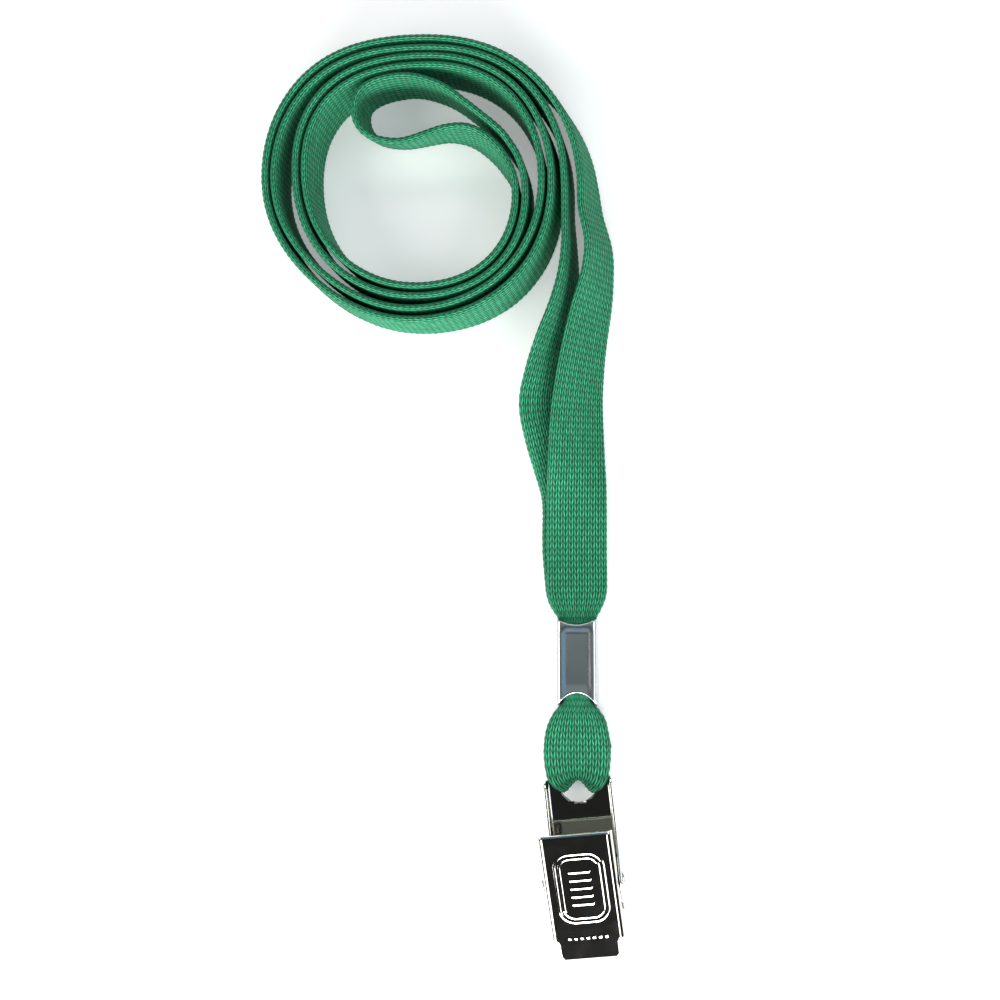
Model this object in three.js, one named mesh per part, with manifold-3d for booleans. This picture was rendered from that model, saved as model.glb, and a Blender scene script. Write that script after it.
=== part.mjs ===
// Lanyard badge holder: a coiled knitted neck strap, its crimp ferrule and a sprung badge clip.
// Millimetres, +Z up, lying on a table. +Y runs from the clip towards the coil.
import * as THREE from 'three';
import { mergeVertices } from 'three/addons/utils/BufferGeometryUtils.js';
import Module from 'manifold-3d';

const wasm = await Module();
wasm.setup();
const { Manifold, Mesh: ManifoldMesh } = wasm;

const DEG = Math.PI / 180;

// Puts the origin under the middle of the whole object's footprint.
const FRAME_SHIFT = [0.24, 0.31, -0.01];

// Strap webbing
const STRAP_WIDTH = 9.6;
const STRAP_THICK = 1.2;
const STRAP_PINCHED_WIDTH = 5.1;
const STRAP_PINCHED_THICK = 0.9;
const STRAP_LOOP_THICK = 1.05;
const COIL_CENTRE = [-4.0, 48.7];
const COIL_MID_HEIGHT = STRAP_WIDTH / 2 + 0.05;
const COIL_STEP = 9;
const PINCH_START = -15.5;
const PINCH_END = -21.0;

// Radii of the two coiled strands, one value each 45 degrees, counted anticlockwise from +X.
const LEFT_STRAND_RADII = [
  24.3, 23.7, 22.1, 24.1, 23.0, 20.7, 20.7, 21.2, 20.5, 20.3, 19.2, 20.0, 17.6, 16.8, 17.1, 18.0, 15.9,
];
const RIGHT_STRAND_RADII = [
  27.5, 25.4, 23.7, 25.7, 24.5, 22.4, 22.5, 23.3, 22.4, 22.1, 20.7, 21.8, 19.4, 18.6, 18.7, 19.6, 17.7,
];

// Lean of each strand at the same places, in degrees: the foot of the strap stands outward of its top.
const LEFT_STRAND_LEAN = [3, 0, 0, 0, 0, 0, 0, 2, 0, -3, 0, -3, -3, -1, 0, 0, -3];
const RIGHT_STRAND_LEAN = [13, 4, 0, 0, 0, 0, 0, 4, 5, 2, 0, 0, 0, 0, 0, 0, 0];

// The fold inside the coil, from the end of the left strand round to the right strand: x, y, lean.
const FOLD_POINTS = [
  [10.9, 51.0, -4], [9.3, 53.4, -5], [7.0, 55.7, -4], [4.2, 57.3, 0], [0.7, 57.7, 7], [-2.6, 57.1, 11],
  [-6.3, 56.4, 14], [-9.9, 56.9, 13], [-12.4, 58.4, 9], [-13.6, 60.8, 4], [-13.3, 63.6, 0],
  [-11.1, 65.3, 1], [-7.6, 66.1, 1], [-4.1, 66.0, 0], [0.3, 64.4, -1], [3.6, 62.1, -3], [7.3, 58.9, -2],
  [10.2, 56.0, 0], [12.4, 52.7, 0],
];

// The two strands between coil and crimp: x, y, height of the middle, tilt of the width from upright.
const LEFT_RUN = [
  [21.35, -30.5, 2.3, 90], [21.35, -21.4, 2.3, 90], [21.0, -16.5, 1.7, 90], [20.4, -10, 0.85, 90],
  [20.4, -2, 1.0, 86], [19.2, 3, 1.75, 78], [17.6, 8, 2.6, 68], [16.5, 13, 3.4, 57], [17.1, 18, 4.1, 45],
  [18.2, 23, 4.6, 33], [19.6, 28, 4.9, 22], [20.4, 33, 5.0, 12], [20.6, 38, 4.95, 6],
  [20.4, 43, COIL_MID_HEIGHT, 3],
];
const RIGHT_RUN = [
  [24.1, 43, 4.85, 18], [25.2, 38, 4.8, 21], [24.95, 33, 4.65, 26], [23.95, 28, 4.4, 36],
  [22.95, 23, 4.3, 41], [22.15, 18, 4.15, 47], [21.6, 13, 3.85, 54], [21.4, 8, 3.5, 62],
  [21.35, 3, 3.3, 70], [21.3, -2, 2.75, 84], [21.25, -10, 2.45, 90], [21.3, -16.5, 2.95, 90],
  [21.35, -21.4, 3.45, 90], [21.35, -25.6, 3.45, 90],
];

// Webbing loop through the clip
const LOOP_BEND_Y = 15.7;
const LOOP_BEND_RADIUS = 1.1;

// Crimp ferrule
const CRIMP_CENTRE = [21.3, -27.8];
const CRIMP_LENGTH = 13.2;
const CRIMP_WIDTH = 6.4;
const CRIMP_HEIGHT = 4.5;
const CRIMP_WALL = 0.5;
const CRIMP_CORNER = 1.5;
const CRIMP_SEAM = 0.35;

// Clip: local X across, local Y from jaw to strap, local Z up; the pin axis crosses local Y = 0.
const SHEET = 0.45;
const CLIP_PIVOT = [22.35, -61.05, 0.85];
const CLIP_YAW = 6;
const CLIP_PITCH = 3;
const PIN_HEIGHT = 2.7;
const BACK_WIDTH = 10.7;
const BACK_SHIFT = 0.42;
const BACK_TOP = 19.35;
const BACK_JAW = -11.7;
const JAW_WIDTH = 7.4;
const HOLE_RADIUS = 3.15;
const HOLE_Y = 14.85;
const LEVER_WIDTH = 11.5;
const LEVER_SHIFT = -0.55;
const LEVER_TOP = 8.7;
const LEVER_SHOULDER = -9.0;
const LEVER_LIP = -12.1;
const LIP_WIDTH = 9.2;
const LEVER_RISE = 1.56;
const LEVER_ANGLE = 16.5;
const BEND_RADIUS = 0.9;
const PIN_RADIUS = 0.65;
const PIN_HOLE_RADIUS = 0.82;
const PIN_HEAD_RADIUS = 1.1;
const PIN_HEAD_THICK = 0.5;
const PIN_ENDS = [-6.4, 5.85];
const SPRING_WIRE = 0.24;
const SPRING_RADIUS = 1.06;
const SPRING_TURNS = 6;
const SPRING_HALF = 2.1;

function colour(hex, roughness, metalness) {
  return new THREE.MeshStandardMaterial({ color: hex, roughness, metalness });
}

function named(geometry, name, material) {
  const mesh = new THREE.Mesh(geometry, material);
  mesh.name = name;
  return mesh;
}

// --- joining and cutting -------------------------------------------------

function toManifold(geometry) {
  let g = geometry.clone();
  for (const key of Object.keys(g.attributes)) {
    if (key !== 'position') g.deleteAttribute(key);
  }
  g = mergeVertices(g, 1e-4);
  const mesh = new ManifoldMesh({
    numProp: 3,
    vertProperties: new Float32Array(g.attributes.position.array),
    triVerts: new Uint32Array(g.index.array),
  });
  return new Manifold(mesh);
}

function fromManifold(solid) {
  const mesh = solid.getMesh();
  const g = new THREE.BufferGeometry();
  g.setAttribute('position', new THREE.BufferAttribute(new Float32Array(mesh.vertProperties), 3));
  g.setIndex(new THREE.BufferAttribute(new Uint32Array(mesh.triVerts), 1));
  g.computeVertexNormals();
  return g;
}

// --- sheet shapes --------------------------------------------------------

function extrude(points, depth) {
  const shape = new THREE.Shape(points.map(([x, y]) => new THREE.Vector2(x, y)));
  return new THREE.ExtrudeGeometry(shape, { depth, bevelEnabled: false, curveSegments: 12 });
}

// A solid seen in plan, its outline in X and Y.
function planSolid(points, low, high) {
  return toManifold(extrude(points, high - low).translate(0, 0, low));
}

// A solid seen from the side, its outline in Y and Z, running along X.
function sideSolid(points, low, high) {
  const g = extrude(points, high - low);
  g.rotateX(Math.PI / 2).rotateZ(Math.PI / 2);
  g.translate(low, 0, 0);
  return toManifold(g);
}

function cylinderX(radius, low, high, y, z, sides = 24) {
  const g = new THREE.CylinderGeometry(radius, radius, high - low, sides);
  g.rotateZ(Math.PI / 2).translate((low + high) / 2, y, z);
  return toManifold(g);
}

function cylinderZ(radius, low, high, x, y, sides = 40) {
  const g = new THREE.CylinderGeometry(radius, radius, high - low, sides);
  g.rotateX(Math.PI / 2).translate(x, y, (low + high) / 2);
  return toManifold(g);
}

// Points of an arc in a plane, from one angle to another in degrees.
function arc(cx, cy, radius, from, to, steps) {
  const points = [];
  for (let i = 0; i <= steps; i++) {
    const a = (from + ((to - from) * i) / steps) * DEG;
    points.push([cx + radius * Math.cos(a), cy + radius * Math.sin(a)]);
  }
  return points;
}

// Cross-section of a folded channel, open upwards, with rounded folds.
function channelProfile(width, height, radius) {
  const w = width / 2;
  const low = -SHEET / 2;
  const outer = [
    ...arc(-w + radius, low + radius, radius, 180, 270, 5),
    ...arc(w - radius, low + radius, radius, 270, 360, 5),
    [w, height],
    [w - SHEET, height],
  ];
  const inner = [
    ...arc(w - radius, low + radius, radius - SHEET, 360, 270, 5),
    ...arc(-w + radius, low + radius, radius - SHEET, 270, 180, 5),
    [-w + SHEET, height],
    [-w, height],
  ];
  return [...outer, ...inner];
}

// A folded channel running along Y, before its outlines are cut.
function channelSolid(width, height, from, to) {
  const g = extrude(channelProfile(width, height, BEND_RADIUS), to - from);
  g.rotateX(Math.PI / 2).translate(0, to, 0);
  return toManifold(g);
}

// --- clip ----------------------------------------------------------------

function backPlateOutline() {
  const w = BACK_WIDTH / 2 + 0.1;
  const tongue = 5.0;
  return [
    ...arc(0, BACK_TOP - tongue, tongue, 12, 168, 16),
    [-w, HOLE_Y - 0.4],
    [-w, -1.8],
    [-JAW_WIDTH / 2, -3.6],
    [-JAW_WIDTH / 2, BACK_JAW],
    [JAW_WIDTH / 2, BACK_JAW],
    [JAW_WIDTH / 2, -3.6],
    [w, -1.8],
    [w, HOLE_Y - 0.4],
  ];
}

function backPlateSide() {
  return [
    [BACK_TOP + 1, -1], [BACK_TOP + 1, 0.5], [HOLE_Y + 0.4, 0.5], [HOLE_Y - 0.5, 1.9], [9, 2.2], [5, 2.7],
    [2, 3.6], [1, 3.75], [-0.6, 3.7], [-1.6, 3.3], [-3, 2.5], [-5.5, 1.4], [-7.5, 0.5], [BACK_JAW - 1, 0.5],
    [BACK_JAW - 1, -1],
  ];
}

function clipBackPlate() {
  const half = BACK_WIDTH / 2 + 1;
  const body = channelSolid(BACK_WIDTH, 5, BACK_JAW - 1, BACK_TOP + 1)
    .intersect(planSolid(backPlateOutline(), -1, 6))
    .intersect(sideSolid(backPlateSide(), -half, half))
    .subtract(cylinderZ(HOLE_RADIUS, -2, 2, 0, HOLE_Y))
    .subtract(cylinderX(PIN_HOLE_RADIUS, -half, half, 0, PIN_HEIGHT));
  return fromManifold(body).translate(BACK_SHIFT, 0, 0);
}

function leverOutline() {
  const w = LEVER_WIDTH / 2;
  const lip = LIP_WIDTH / 2;
  const r = 0.7;
  return [
    ...arc(w - r, LEVER_TOP - r, r, 0, 90, 4),
    ...arc(-w + r, LEVER_TOP - r, r, 90, 180, 4),
    [-w, LEVER_SHOULDER + 0.6],
    [-lip - 0.5, LEVER_SHOULDER],
    [-lip, LEVER_SHOULDER - 0.8],
    [-lip + 0.1, LEVER_LIP],
    [lip - 0.1, LEVER_LIP],
    [lip, LEVER_SHOULDER - 0.8],
    [lip + 0.5, LEVER_SHOULDER],
    [w, LEVER_SHOULDER + 0.6],
  ];
}

function leverSide() {
  const top = LEVER_RISE + 1;
  return [
    [LEVER_TOP + 1, top], [LEVER_LIP - 1, top], [LEVER_LIP - 1, LEVER_RISE - 0.6], [LEVER_SHOULDER, 0.4],
    [-5, 0.0], [-1.3, -1.2], [1.3, -1.2], [4, -0.6], [LEVER_TOP - 1.2, 0.1], [LEVER_TOP + 1, 0.4],
  ];
}

// A raised rounded frame pressed into the lever face.
function raisedFrame(width, length, corner, wall, y) {
  const frame = (w, l, r) => [
    ...arc(w / 2 - r, l / 2 - r, r, 0, 90, 4),
    ...arc(-w / 2 + r, l / 2 - r, r, 90, 180, 4),
    ...arc(-w / 2 + r, -l / 2 + r, r, 180, 270, 4),
    ...arc(w / 2 - r, -l / 2 + r, r, 270, 360, 4),
  ];
  const low = LEVER_RISE;
  const high = LEVER_RISE + SHEET / 2 + 0.12;
  const outer = planSolid(frame(width, length, corner), low, high);
  const inner = planSolid(frame(width - 2 * wall, length - 2 * wall, corner - wall), low - 1, high + 1);
  return outer.subtract(inner).translate([0, y, 0]);
}

function raisedRib(y) {
  const g = new THREE.CylinderGeometry(0.32, 0.32, 3.0, 10);
  g.rotateZ(Math.PI / 2).translate(0, y, LEVER_RISE + 0.06);
  return toManifold(g);
}

function clipLever() {
  const half = LEVER_WIDTH / 2 + 1;
  let body = channelSolid(LEVER_WIDTH, 5, LEVER_LIP - 1, LEVER_TOP + 1)
    .rotate([0, 180, 0])
    .translate([0, 0, LEVER_RISE])
    .intersect(planSolid(leverOutline(), -4, 4))
    .intersect(sideSolid(leverSide(), -half, half))
    .subtract(cylinderX(PIN_HOLE_RADIUS, -half, half, 0, 0));
  body = body.add(raisedFrame(6.6, 9.6, 1.6, 0.3, 0.6));
  for (const y of [2.6, 1.6, 0.6, -0.4, -1.4]) {
    body = body.add(raisedRib(y));
  }
  const g = fromManifold(body);
  return g.rotateX(LEVER_ANGLE * DEG).translate(LEVER_SHIFT, 0, PIN_HEIGHT);
}

function pivotPin() {
  const [low, high] = PIN_ENDS;
  const r = PIN_HEAD_RADIUS;
  const profile = [
    [0, low - PIN_HEAD_THICK], [r * 0.55, low - PIN_HEAD_THICK + 0.05],
    [r * 0.85, low - PIN_HEAD_THICK * 0.65], [r, low - PIN_HEAD_THICK * 0.3], [r, low],
    [PIN_RADIUS, low], [PIN_RADIUS, high], [r, high],
    [r, high + PIN_HEAD_THICK * 0.3], [r * 0.85, high + PIN_HEAD_THICK * 0.65],
    [r * 0.55, high + PIN_HEAD_THICK - 0.05], [0, high + PIN_HEAD_THICK],
  ];
  const g = new THREE.LatheGeometry(profile.map(([x, y]) => new THREE.Vector2(x, y)), 20);
  g.rotateZ(-Math.PI / 2).translate(0, 0, PIN_HEIGHT);
  return fromManifold(toManifold(g));
}

// Round wire along a path of points.
function wire(points, radius, sides) {
  const frames = points.map((p, i) => {
    const before = points[Math.max(0, i - 1)];
    const after = points[Math.min(points.length - 1, i + 1)];
    const t = after.clone().sub(before).normalize();
    return { p, t };
  });
  let across = new THREE.Vector3(0, 0, 1);
  const rings = frames.map(({ p, t }) => {
    across = across.clone().addScaledVector(t, -across.dot(t)).normalize();
    const n = new THREE.Vector3().crossVectors(t, across);
    return circlePoints(sides).map(([a, b]) => {
      return p.clone().addScaledVector(across, a * radius).addScaledVector(n, b * radius);
    });
  });
  return loft(rings);
}

function circlePoints(sides) {
  return arc(0, 0, 1, 0, 360, sides).slice(0, sides);
}

function torsionSpring() {
  const points = [];
  const low = PIN_HEIGHT;
  points.push(new THREE.Vector3(-SPRING_HALF, 5.6, 0.62));
  points.push(new THREE.Vector3(-SPRING_HALF, 3.2, 0.95));
  const steps = SPRING_TURNS * 10;
  for (let i = 0; i <= steps; i++) {
    const a = (-110 + (i * 36 * (SPRING_TURNS + 0.5)) / SPRING_TURNS) * DEG;
    const x = -SPRING_HALF + (2 * SPRING_HALF * i) / steps;
    points.push(new THREE.Vector3(x, SPRING_RADIUS * Math.cos(a), low + SPRING_RADIUS * Math.sin(a)));
  }
  points.push(new THREE.Vector3(SPRING_HALF, 3.0, 4.3));
  points.push(new THREE.Vector3(SPRING_HALF, 6.0, 5.25));
  return wire(points, SPRING_WIRE, 6);
}

function placeClip(mesh) {
  mesh.geometry.rotateX(CLIP_PITCH * DEG);
  mesh.geometry.rotateZ(CLIP_YAW * DEG);
  mesh.geometry.translate(...CLIP_PIVOT);
  return mesh;
}

function clipPoint(x, y, z) {
  const v = new THREE.Vector3(x, y, z);
  v.applyAxisAngle(new THREE.Vector3(1, 0, 0), CLIP_PITCH * DEG);
  v.applyAxisAngle(new THREE.Vector3(0, 0, 1), CLIP_YAW * DEG);
  return v.add(new THREE.Vector3(...CLIP_PIVOT));
}

// --- crimp ---------------------------------------------------------------

function roundedRect(width, height, r, steps) {
  return [
    ...arc(width / 2 - r, height / 2 - r, r, 0, 90, steps),
    ...arc(-width / 2 + r, height / 2 - r, r, 90, 180, steps),
    ...arc(-width / 2 + r, -height / 2 + r, r, 180, 270, steps),
    ...arc(width / 2 - r, -height / 2 + r, r, 270, 360, steps),
  ];
}

// A band running along Y from an outline in X and Z.
function bandSolid(outline, length) {
  const g = extrude(outline, length);
  g.rotateX(Math.PI / 2).translate(0, length / 2, 0);
  return toManifold(g);
}

function crimpFerrule() {
  const inner = [CRIMP_WIDTH - 2 * CRIMP_WALL, CRIMP_HEIGHT - 2 * CRIMP_WALL];
  const tube = bandSolid(roundedRect(CRIMP_WIDTH, CRIMP_HEIGHT, CRIMP_CORNER, 6), CRIMP_LENGTH)
    .subtract(bandSolid(roundedRect(...inner, 0.35, 3), CRIMP_LENGTH + 2));
  const s = CRIMP_SEAM / 2;
  const seam = planSolid([[-s, -20], [s, -20], [s, 20], [-s, 20]], -4, 0);
  const archUp = cylinderZ(3.2, 0, 5, 0, -CRIMP_LENGTH / 2 - 1.25);
  const smile = cylinderZ(6.4, 0, 5, 0, CRIMP_LENGTH / 2 + 5.6);
  const dish = bandSolid(arc(0, 9.0, 7.0, 200, 340, 28), CRIMP_LENGTH - 2.4).translate([0, 0.2, 0]);
  const body = tube.subtract(seam).subtract(archUp).subtract(smile).subtract(dish);
  return fromManifold(body).translate(CRIMP_CENTRE[0], CRIMP_CENTRE[1], CRIMP_HEIGHT / 2 + 0.02);
}

// --- webbing -------------------------------------------------------------

// Value of a cubic curve through a list, at a fractional position.
function smooth(values, at) {
  const i = Math.min(Math.floor(at), values.length - 2);
  const f = at - i;
  const b = values[i];
  const c = values[i + 1];
  const a = i > 0 ? values[i - 1] : 2 * b - c;
  const d = i + 2 < values.length ? values[i + 2] : 2 * c - b;
  const m = (c - a) / 2;
  const n = (d - b) / 2;
  return b + f * m + f * f * (3 * (c - b) - 2 * m - n) + f * f * f * (m + n - 2 * (c - b));
}

// Each station is [x, y, z, tilt, width, thickness].
function smoothStation(stations, at) {
  return [0, 1, 2, 3, 4, 5].map((k) => smooth(stations.map((s) => s[k]), at));
}

function coilStations(radii, lean, side) {
  const stations = [];
  const sweep = (radii.length - 1) * 45;
  for (let angle = 0; angle <= sweep; angle += COIL_STEP) {
    const r = smooth(radii, angle / 45);
    const x = COIL_CENTRE[0] + r * Math.cos(angle * DEG);
    const y = COIL_CENTRE[1] + r * Math.sin(angle * DEG);
    const tilt = smooth(lean, angle / 45) * side;
    stations.push([x, y, COIL_MID_HEIGHT, tilt, STRAP_WIDTH, STRAP_THICK]);
  }
  return stations;
}

// How far the webbing is pinched where it nears the crimp, 0 to 1.
function pinch(y) {
  const f = THREE.MathUtils.clamp((PINCH_START - y) / (PINCH_START - PINCH_END), 0, 1);
  return Math.pow(f, 2.4);
}

function runStations(run, side, steps) {
  const rows = run.map(([x, y, z, tilt]) => [x, y, z, tilt * side, 0, 0]);
  const out = [];
  for (let i = 0; i <= (rows.length - 1) * steps; i++) {
    const s = smoothStation(rows, i / steps);
    s[4] = THREE.MathUtils.lerp(STRAP_WIDTH, STRAP_PINCHED_WIDTH, pinch(s[1]));
    s[5] = THREE.MathUtils.lerp(STRAP_THICK, STRAP_PINCHED_THICK, pinch(s[1]));
    out.push(s);
  }
  return out;
}

function foldStations() {
  const rows = FOLD_POINTS.map(([x, y, lean]) => [x, y, COIL_MID_HEIGHT, lean, STRAP_WIDTH, STRAP_THICK]);
  const out = [];
  for (let i = 0; i <= (rows.length - 1) * 2; i++) out.push(smoothStation(rows, i / 2));
  return out;
}

// Octagonal section of the webbing: flat faces and eased edges.
function webbingSection(width, thick) {
  const w = width / 2;
  const t = thick / 2;
  const e = Math.min(t * 0.75, 0.5);
  const h = t * 0.45;
  return [[w, -h], [w, h], [w - e, t], [-w + e, t], [-w, h], [-w, -h], [-w + e, -t], [w - e, -t]];
}

// A closed skin over rings of points, with flat ends.
function loft(rings) {
  const n = rings[0].length;
  const positions = [];
  for (const ring of rings) {
    for (const p of ring) positions.push(p.x, p.y, p.z);
  }
  const index = [];
  for (let i = 0; i < rings.length - 1; i++) {
    for (let k = 0; k < n; k++) {
      const a = i * n + k;
      const b = i * n + ((k + 1) % n);
      index.push(a, b, b + n, a, b + n, a + n);
    }
  }
  const last = (rings.length - 1) * n;
  for (let k = 1; k < n - 1; k++) {
    index.push(0, k + 1, k);
    index.push(last, last + k, last + k + 1);
  }
  const g = new THREE.BufferGeometry();
  g.setAttribute('position', new THREE.Float32BufferAttribute(positions, 3));
  g.setIndex(index);
  g.computeVertexNormals();
  return g;
}

// Width direction of upright webbing that runs along t: positive tilt leans its top to the left of t.
function leaning(t, tilt) {
  const side = new THREE.Vector3().crossVectors(t, new THREE.Vector3(0, 0, 1)).normalize();
  const a = new THREE.Vector3(0, 0, Math.cos(tilt * DEG));
  return a.addScaledVector(side, -Math.sin(tilt * DEG));
}

// Webbing through its stations; a fixed width direction, if given, replaces the tilts.
function webbingSolid(stations, across = null) {
  const points = stations.map((s) => new THREE.Vector3(s[0], s[1], s[2]));
  const rings = stations.map((s, i) => {
    const before = points[Math.max(0, i - 1)];
    const after = points[Math.min(points.length - 1, i + 1)];
    const t = after.clone().sub(before).normalize();
    const a = across ? across.clone() : leaning(t, s[3]);
    a.addScaledVector(t, -a.dot(t)).normalize();
    const n = new THREE.Vector3().crossVectors(t, a);
    const section = webbingSection(s[4], s[5]);
    return section.map(([u, v]) => points[i].clone().addScaledVector(a, u).addScaledVector(n, v));
  });
  return loft(rings);
}

function neckStrap() {
  return webbingSolid([
    ...runStations(LEFT_RUN, 1, 3),
    ...coilStations(LEFT_STRAND_RADII, LEFT_STRAND_LEAN, 1),
    ...foldStations(),
    ...coilStations(RIGHT_STRAND_RADII, RIGHT_STRAND_LEAN, -1).reverse(),
    ...runStations(RIGHT_RUN, -1, 3),
  ]);
}

// The short loop that carries the clip: down over the plate, through its hole and back underneath.
// Rows are x, y, height, width; the first and last group are in the crimp's line, the rest on the clip.
function clipLoop() {
  const row = (v, width, thick) => [v.x, v.y, v.z, 0, width, thick];
  const line = (dx, y, z, width) =>
    row(new THREE.Vector3(CRIMP_CENTRE[0] + dx, y, z), width, STRAP_LOOP_THICK);
  const inCrimp = (y, z) =>
    row(new THREE.Vector3(CRIMP_CENTRE[0], y, z), STRAP_PINCHED_WIDTH, STRAP_PINCHED_THICK);
  const onClip = (y, z, width) => row(clipPoint(BACK_SHIFT, y, z), width, STRAP_LOOP_THICK);
  const bend = [75, 45, 15, -15, -45, -75].map((a) => {
    const y = LOOP_BEND_Y - LOOP_BEND_RADIUS * Math.cos(a * DEG);
    return onClip(y, LOOP_BEND_RADIUS * Math.sin(a * DEG), 5.4);
  });
  return webbingSolid([
    inCrimp(-26.1, 3.45), inCrimp(-34.2, 3.45),
    line(0, -34.9, 3.5, 6.4), line(0, -35.8, 3.55, 7.8), line(0, -37, 3.55, 9.0),
    line(-0.03, -38.5, 3.5, 9.9), line(-0.05, -40.5, 3.4, 10.4), line(-0.08, -42.3, 3.3, 10.4),
    onClip(17.6, 1.3, 9.9), onClip(16.6, 1.2, 9.2), onClip(15.9, 1.13, 7.4), ...bend,
    onClip(15.9, -1.12, 7.0), onClip(17.2, -1.12, 8.6),
    line(-0.08, -42.0, 0.7, 9.6), line(-0.05, -39, 0.7, 9.4),
    line(0, -36.6, 0.8, 8.4), line(0, -35.1, 1.0, 6.4), inCrimp(-34.2, 1.15), inCrimp(-23, 1.15),
  ], new THREE.Vector3(-1, 0, 0));
}

// --- assembly ------------------------------------------------------------

const part = new THREE.Group();
part.name = 'lanyard_badge_holder';
const knit = () => colour(0x2d7352, 0.85, 0);
const nickel = () => colour(0xb9bab6, 0.22, 1);
part.add(named(neckStrap(), 'neck_strap', knit()));
part.add(named(clipLoop(), 'clip_loop', knit()));
part.add(named(crimpFerrule(), 'crimp_ferrule', nickel()));
part.add(placeClip(named(clipBackPlate(), 'clip_back_plate', nickel())));
part.add(placeClip(named(clipLever(), 'clip_lever', nickel())));
part.add(placeClip(named(pivotPin(), 'pivot_pin', nickel())));
part.add(placeClip(named(torsionSpring(), 'torsion_spring', colour(0x8c8d8b, 0.35, 1))));

for (const mesh of part.children) mesh.geometry.translate(...FRAME_SHIFT);

export default part;
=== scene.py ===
"""A knitted neck lanyard lying coiled, with its crimp and its sprung badge clip."""

import logging
import math
from dataclasses import dataclass, field
from enum import Enum
from typing import Callable, Sequence

import bmesh
import bpy
import numpy as np
from mathutils import Matrix, Vector, geometry


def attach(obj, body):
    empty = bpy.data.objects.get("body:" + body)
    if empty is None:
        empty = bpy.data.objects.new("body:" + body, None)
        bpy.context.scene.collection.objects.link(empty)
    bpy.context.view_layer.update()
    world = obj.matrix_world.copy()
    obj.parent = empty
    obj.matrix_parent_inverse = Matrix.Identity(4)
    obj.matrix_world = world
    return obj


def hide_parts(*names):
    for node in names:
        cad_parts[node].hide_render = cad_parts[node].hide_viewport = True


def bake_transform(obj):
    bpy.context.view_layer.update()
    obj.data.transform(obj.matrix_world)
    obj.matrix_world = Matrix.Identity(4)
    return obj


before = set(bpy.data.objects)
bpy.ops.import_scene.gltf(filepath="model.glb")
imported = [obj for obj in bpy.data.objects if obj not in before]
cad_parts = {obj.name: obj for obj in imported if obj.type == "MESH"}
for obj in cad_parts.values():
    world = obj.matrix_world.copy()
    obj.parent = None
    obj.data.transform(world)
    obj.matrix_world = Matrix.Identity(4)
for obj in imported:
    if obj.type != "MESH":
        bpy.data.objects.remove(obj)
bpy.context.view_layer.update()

log = logging.getLogger("lanyard")

MM = 0.001
UP = Vector((0.0, 0.0, 1.0))
CLIPWARD = Vector((0.0, -1.0, 0.0))
FRAME_SHIFT = Vector((0.24, 0.31, -0.01))


# --- small helpers -------------------------------------------------------


def metres(points: Sequence[Vector]) -> list[Vector]:
    """Points in the maker's millimetres, moved to the row frame and given in metres."""
    return [(Vector(p) + FRAME_SHIFT) * MM for p in points]


def lerp(a: float, b: float, f: float) -> float:
    """The value a share f of the way from a to b."""
    return a + (b - a) * f


def clamp(value: float, low: float = 0.0, high: float = 1.0) -> float:
    """The value, kept between low and high."""
    return max(low, min(high, value))


def ease(value: float) -> float:
    """A smooth step from 0 to 1."""
    f = clamp(value)
    return f * f * (3 - 2 * f)


def arc(
    cx: float, cy: float, radius: float, start: float, end: float, steps: int
) -> list[tuple[float, float]]:
    """Points of a plane arc.

    Args:
        cx: centre, first coordinate.
        cy: centre, second coordinate.
        radius: radius of the arc.
        start: first angle, in degrees.
        end: last angle, in degrees.
        steps: number of straight steps.

    Returns:
        The points from start to end, both included.
    """
    angles = [math.radians(lerp(start, end, i / steps)) for i in range(steps + 1)]
    return [(cx + radius * math.cos(a), cy + radius * math.sin(a)) for a in angles]


def catmull(values: Sequence[float], at: float) -> float:
    """Value of an even cubic curve through a list, at a fractional position."""
    i = min(int(at), len(values) - 2)
    f = at - i
    b, c = values[i], values[i + 1]
    a = values[i - 1] if i > 0 else 2 * b - c
    d = values[i + 2] if i + 2 < len(values) else 2 * c - b
    m, n = (c - a) / 2, (d - b) / 2
    return b + f * m + f * f * (3 * (c - b) - 2 * m - n) + f**3 * (m + n - 2 * (c - b))


def through(knots: np.ndarray, rows: np.ndarray, at: np.ndarray) -> np.ndarray:
    """Rows of numbers interpolated smoothly between uneven knots.

    Args:
        knots: increasing positions of the rows.
        rows: one row of numbers for each knot.
        at: the positions wanted.

    Returns:
        One row for each position.
    """
    step = np.diff(knots)[:, None]
    slope = np.diff(rows, axis=0) / step
    inner = (slope[:-1] * step[1:] + slope[1:] * step[:-1]) / (step[1:] + step[:-1])
    tangent = np.vstack([slope[:1], inner, slope[-1:]])
    i = np.clip(np.searchsorted(knots, at, side="right") - 1, 0, len(knots) - 2)
    f = ((at - knots[i]) / np.diff(knots)[i])[:, None]
    h = step[i]
    b, c, m, n = rows[i], rows[i + 1], tangent[i] * h, tangent[i + 1] * h
    return b + f * m + f**2 * (3 * (c - b) - 2 * m - n) + f**3 * (m + n - 2 * (c - b))


def new_object(name: str, vertices: Sequence, faces: Sequence) -> bpy.types.Object:
    """A smooth mesh object at the origin, linked to the scene."""
    mesh = bpy.data.meshes.new(name)
    mesh.from_pydata([tuple(v) for v in vertices], [], faces)
    mesh.polygons.foreach_set("use_smooth", [True] * len(mesh.polygons))
    obj = bpy.data.objects.new(name, mesh)
    bpy.context.scene.collection.objects.link(obj)
    return obj


def outward(obj: bpy.types.Object) -> None:
    """Turns every face of a closed mesh to point outwards."""
    work = bmesh.new()
    work.from_mesh(obj.data)
    bmesh.ops.recalc_face_normals(work, faces=work.faces)
    work.to_mesh(obj.data)
    work.free()


# --- node building -------------------------------------------------------


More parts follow.
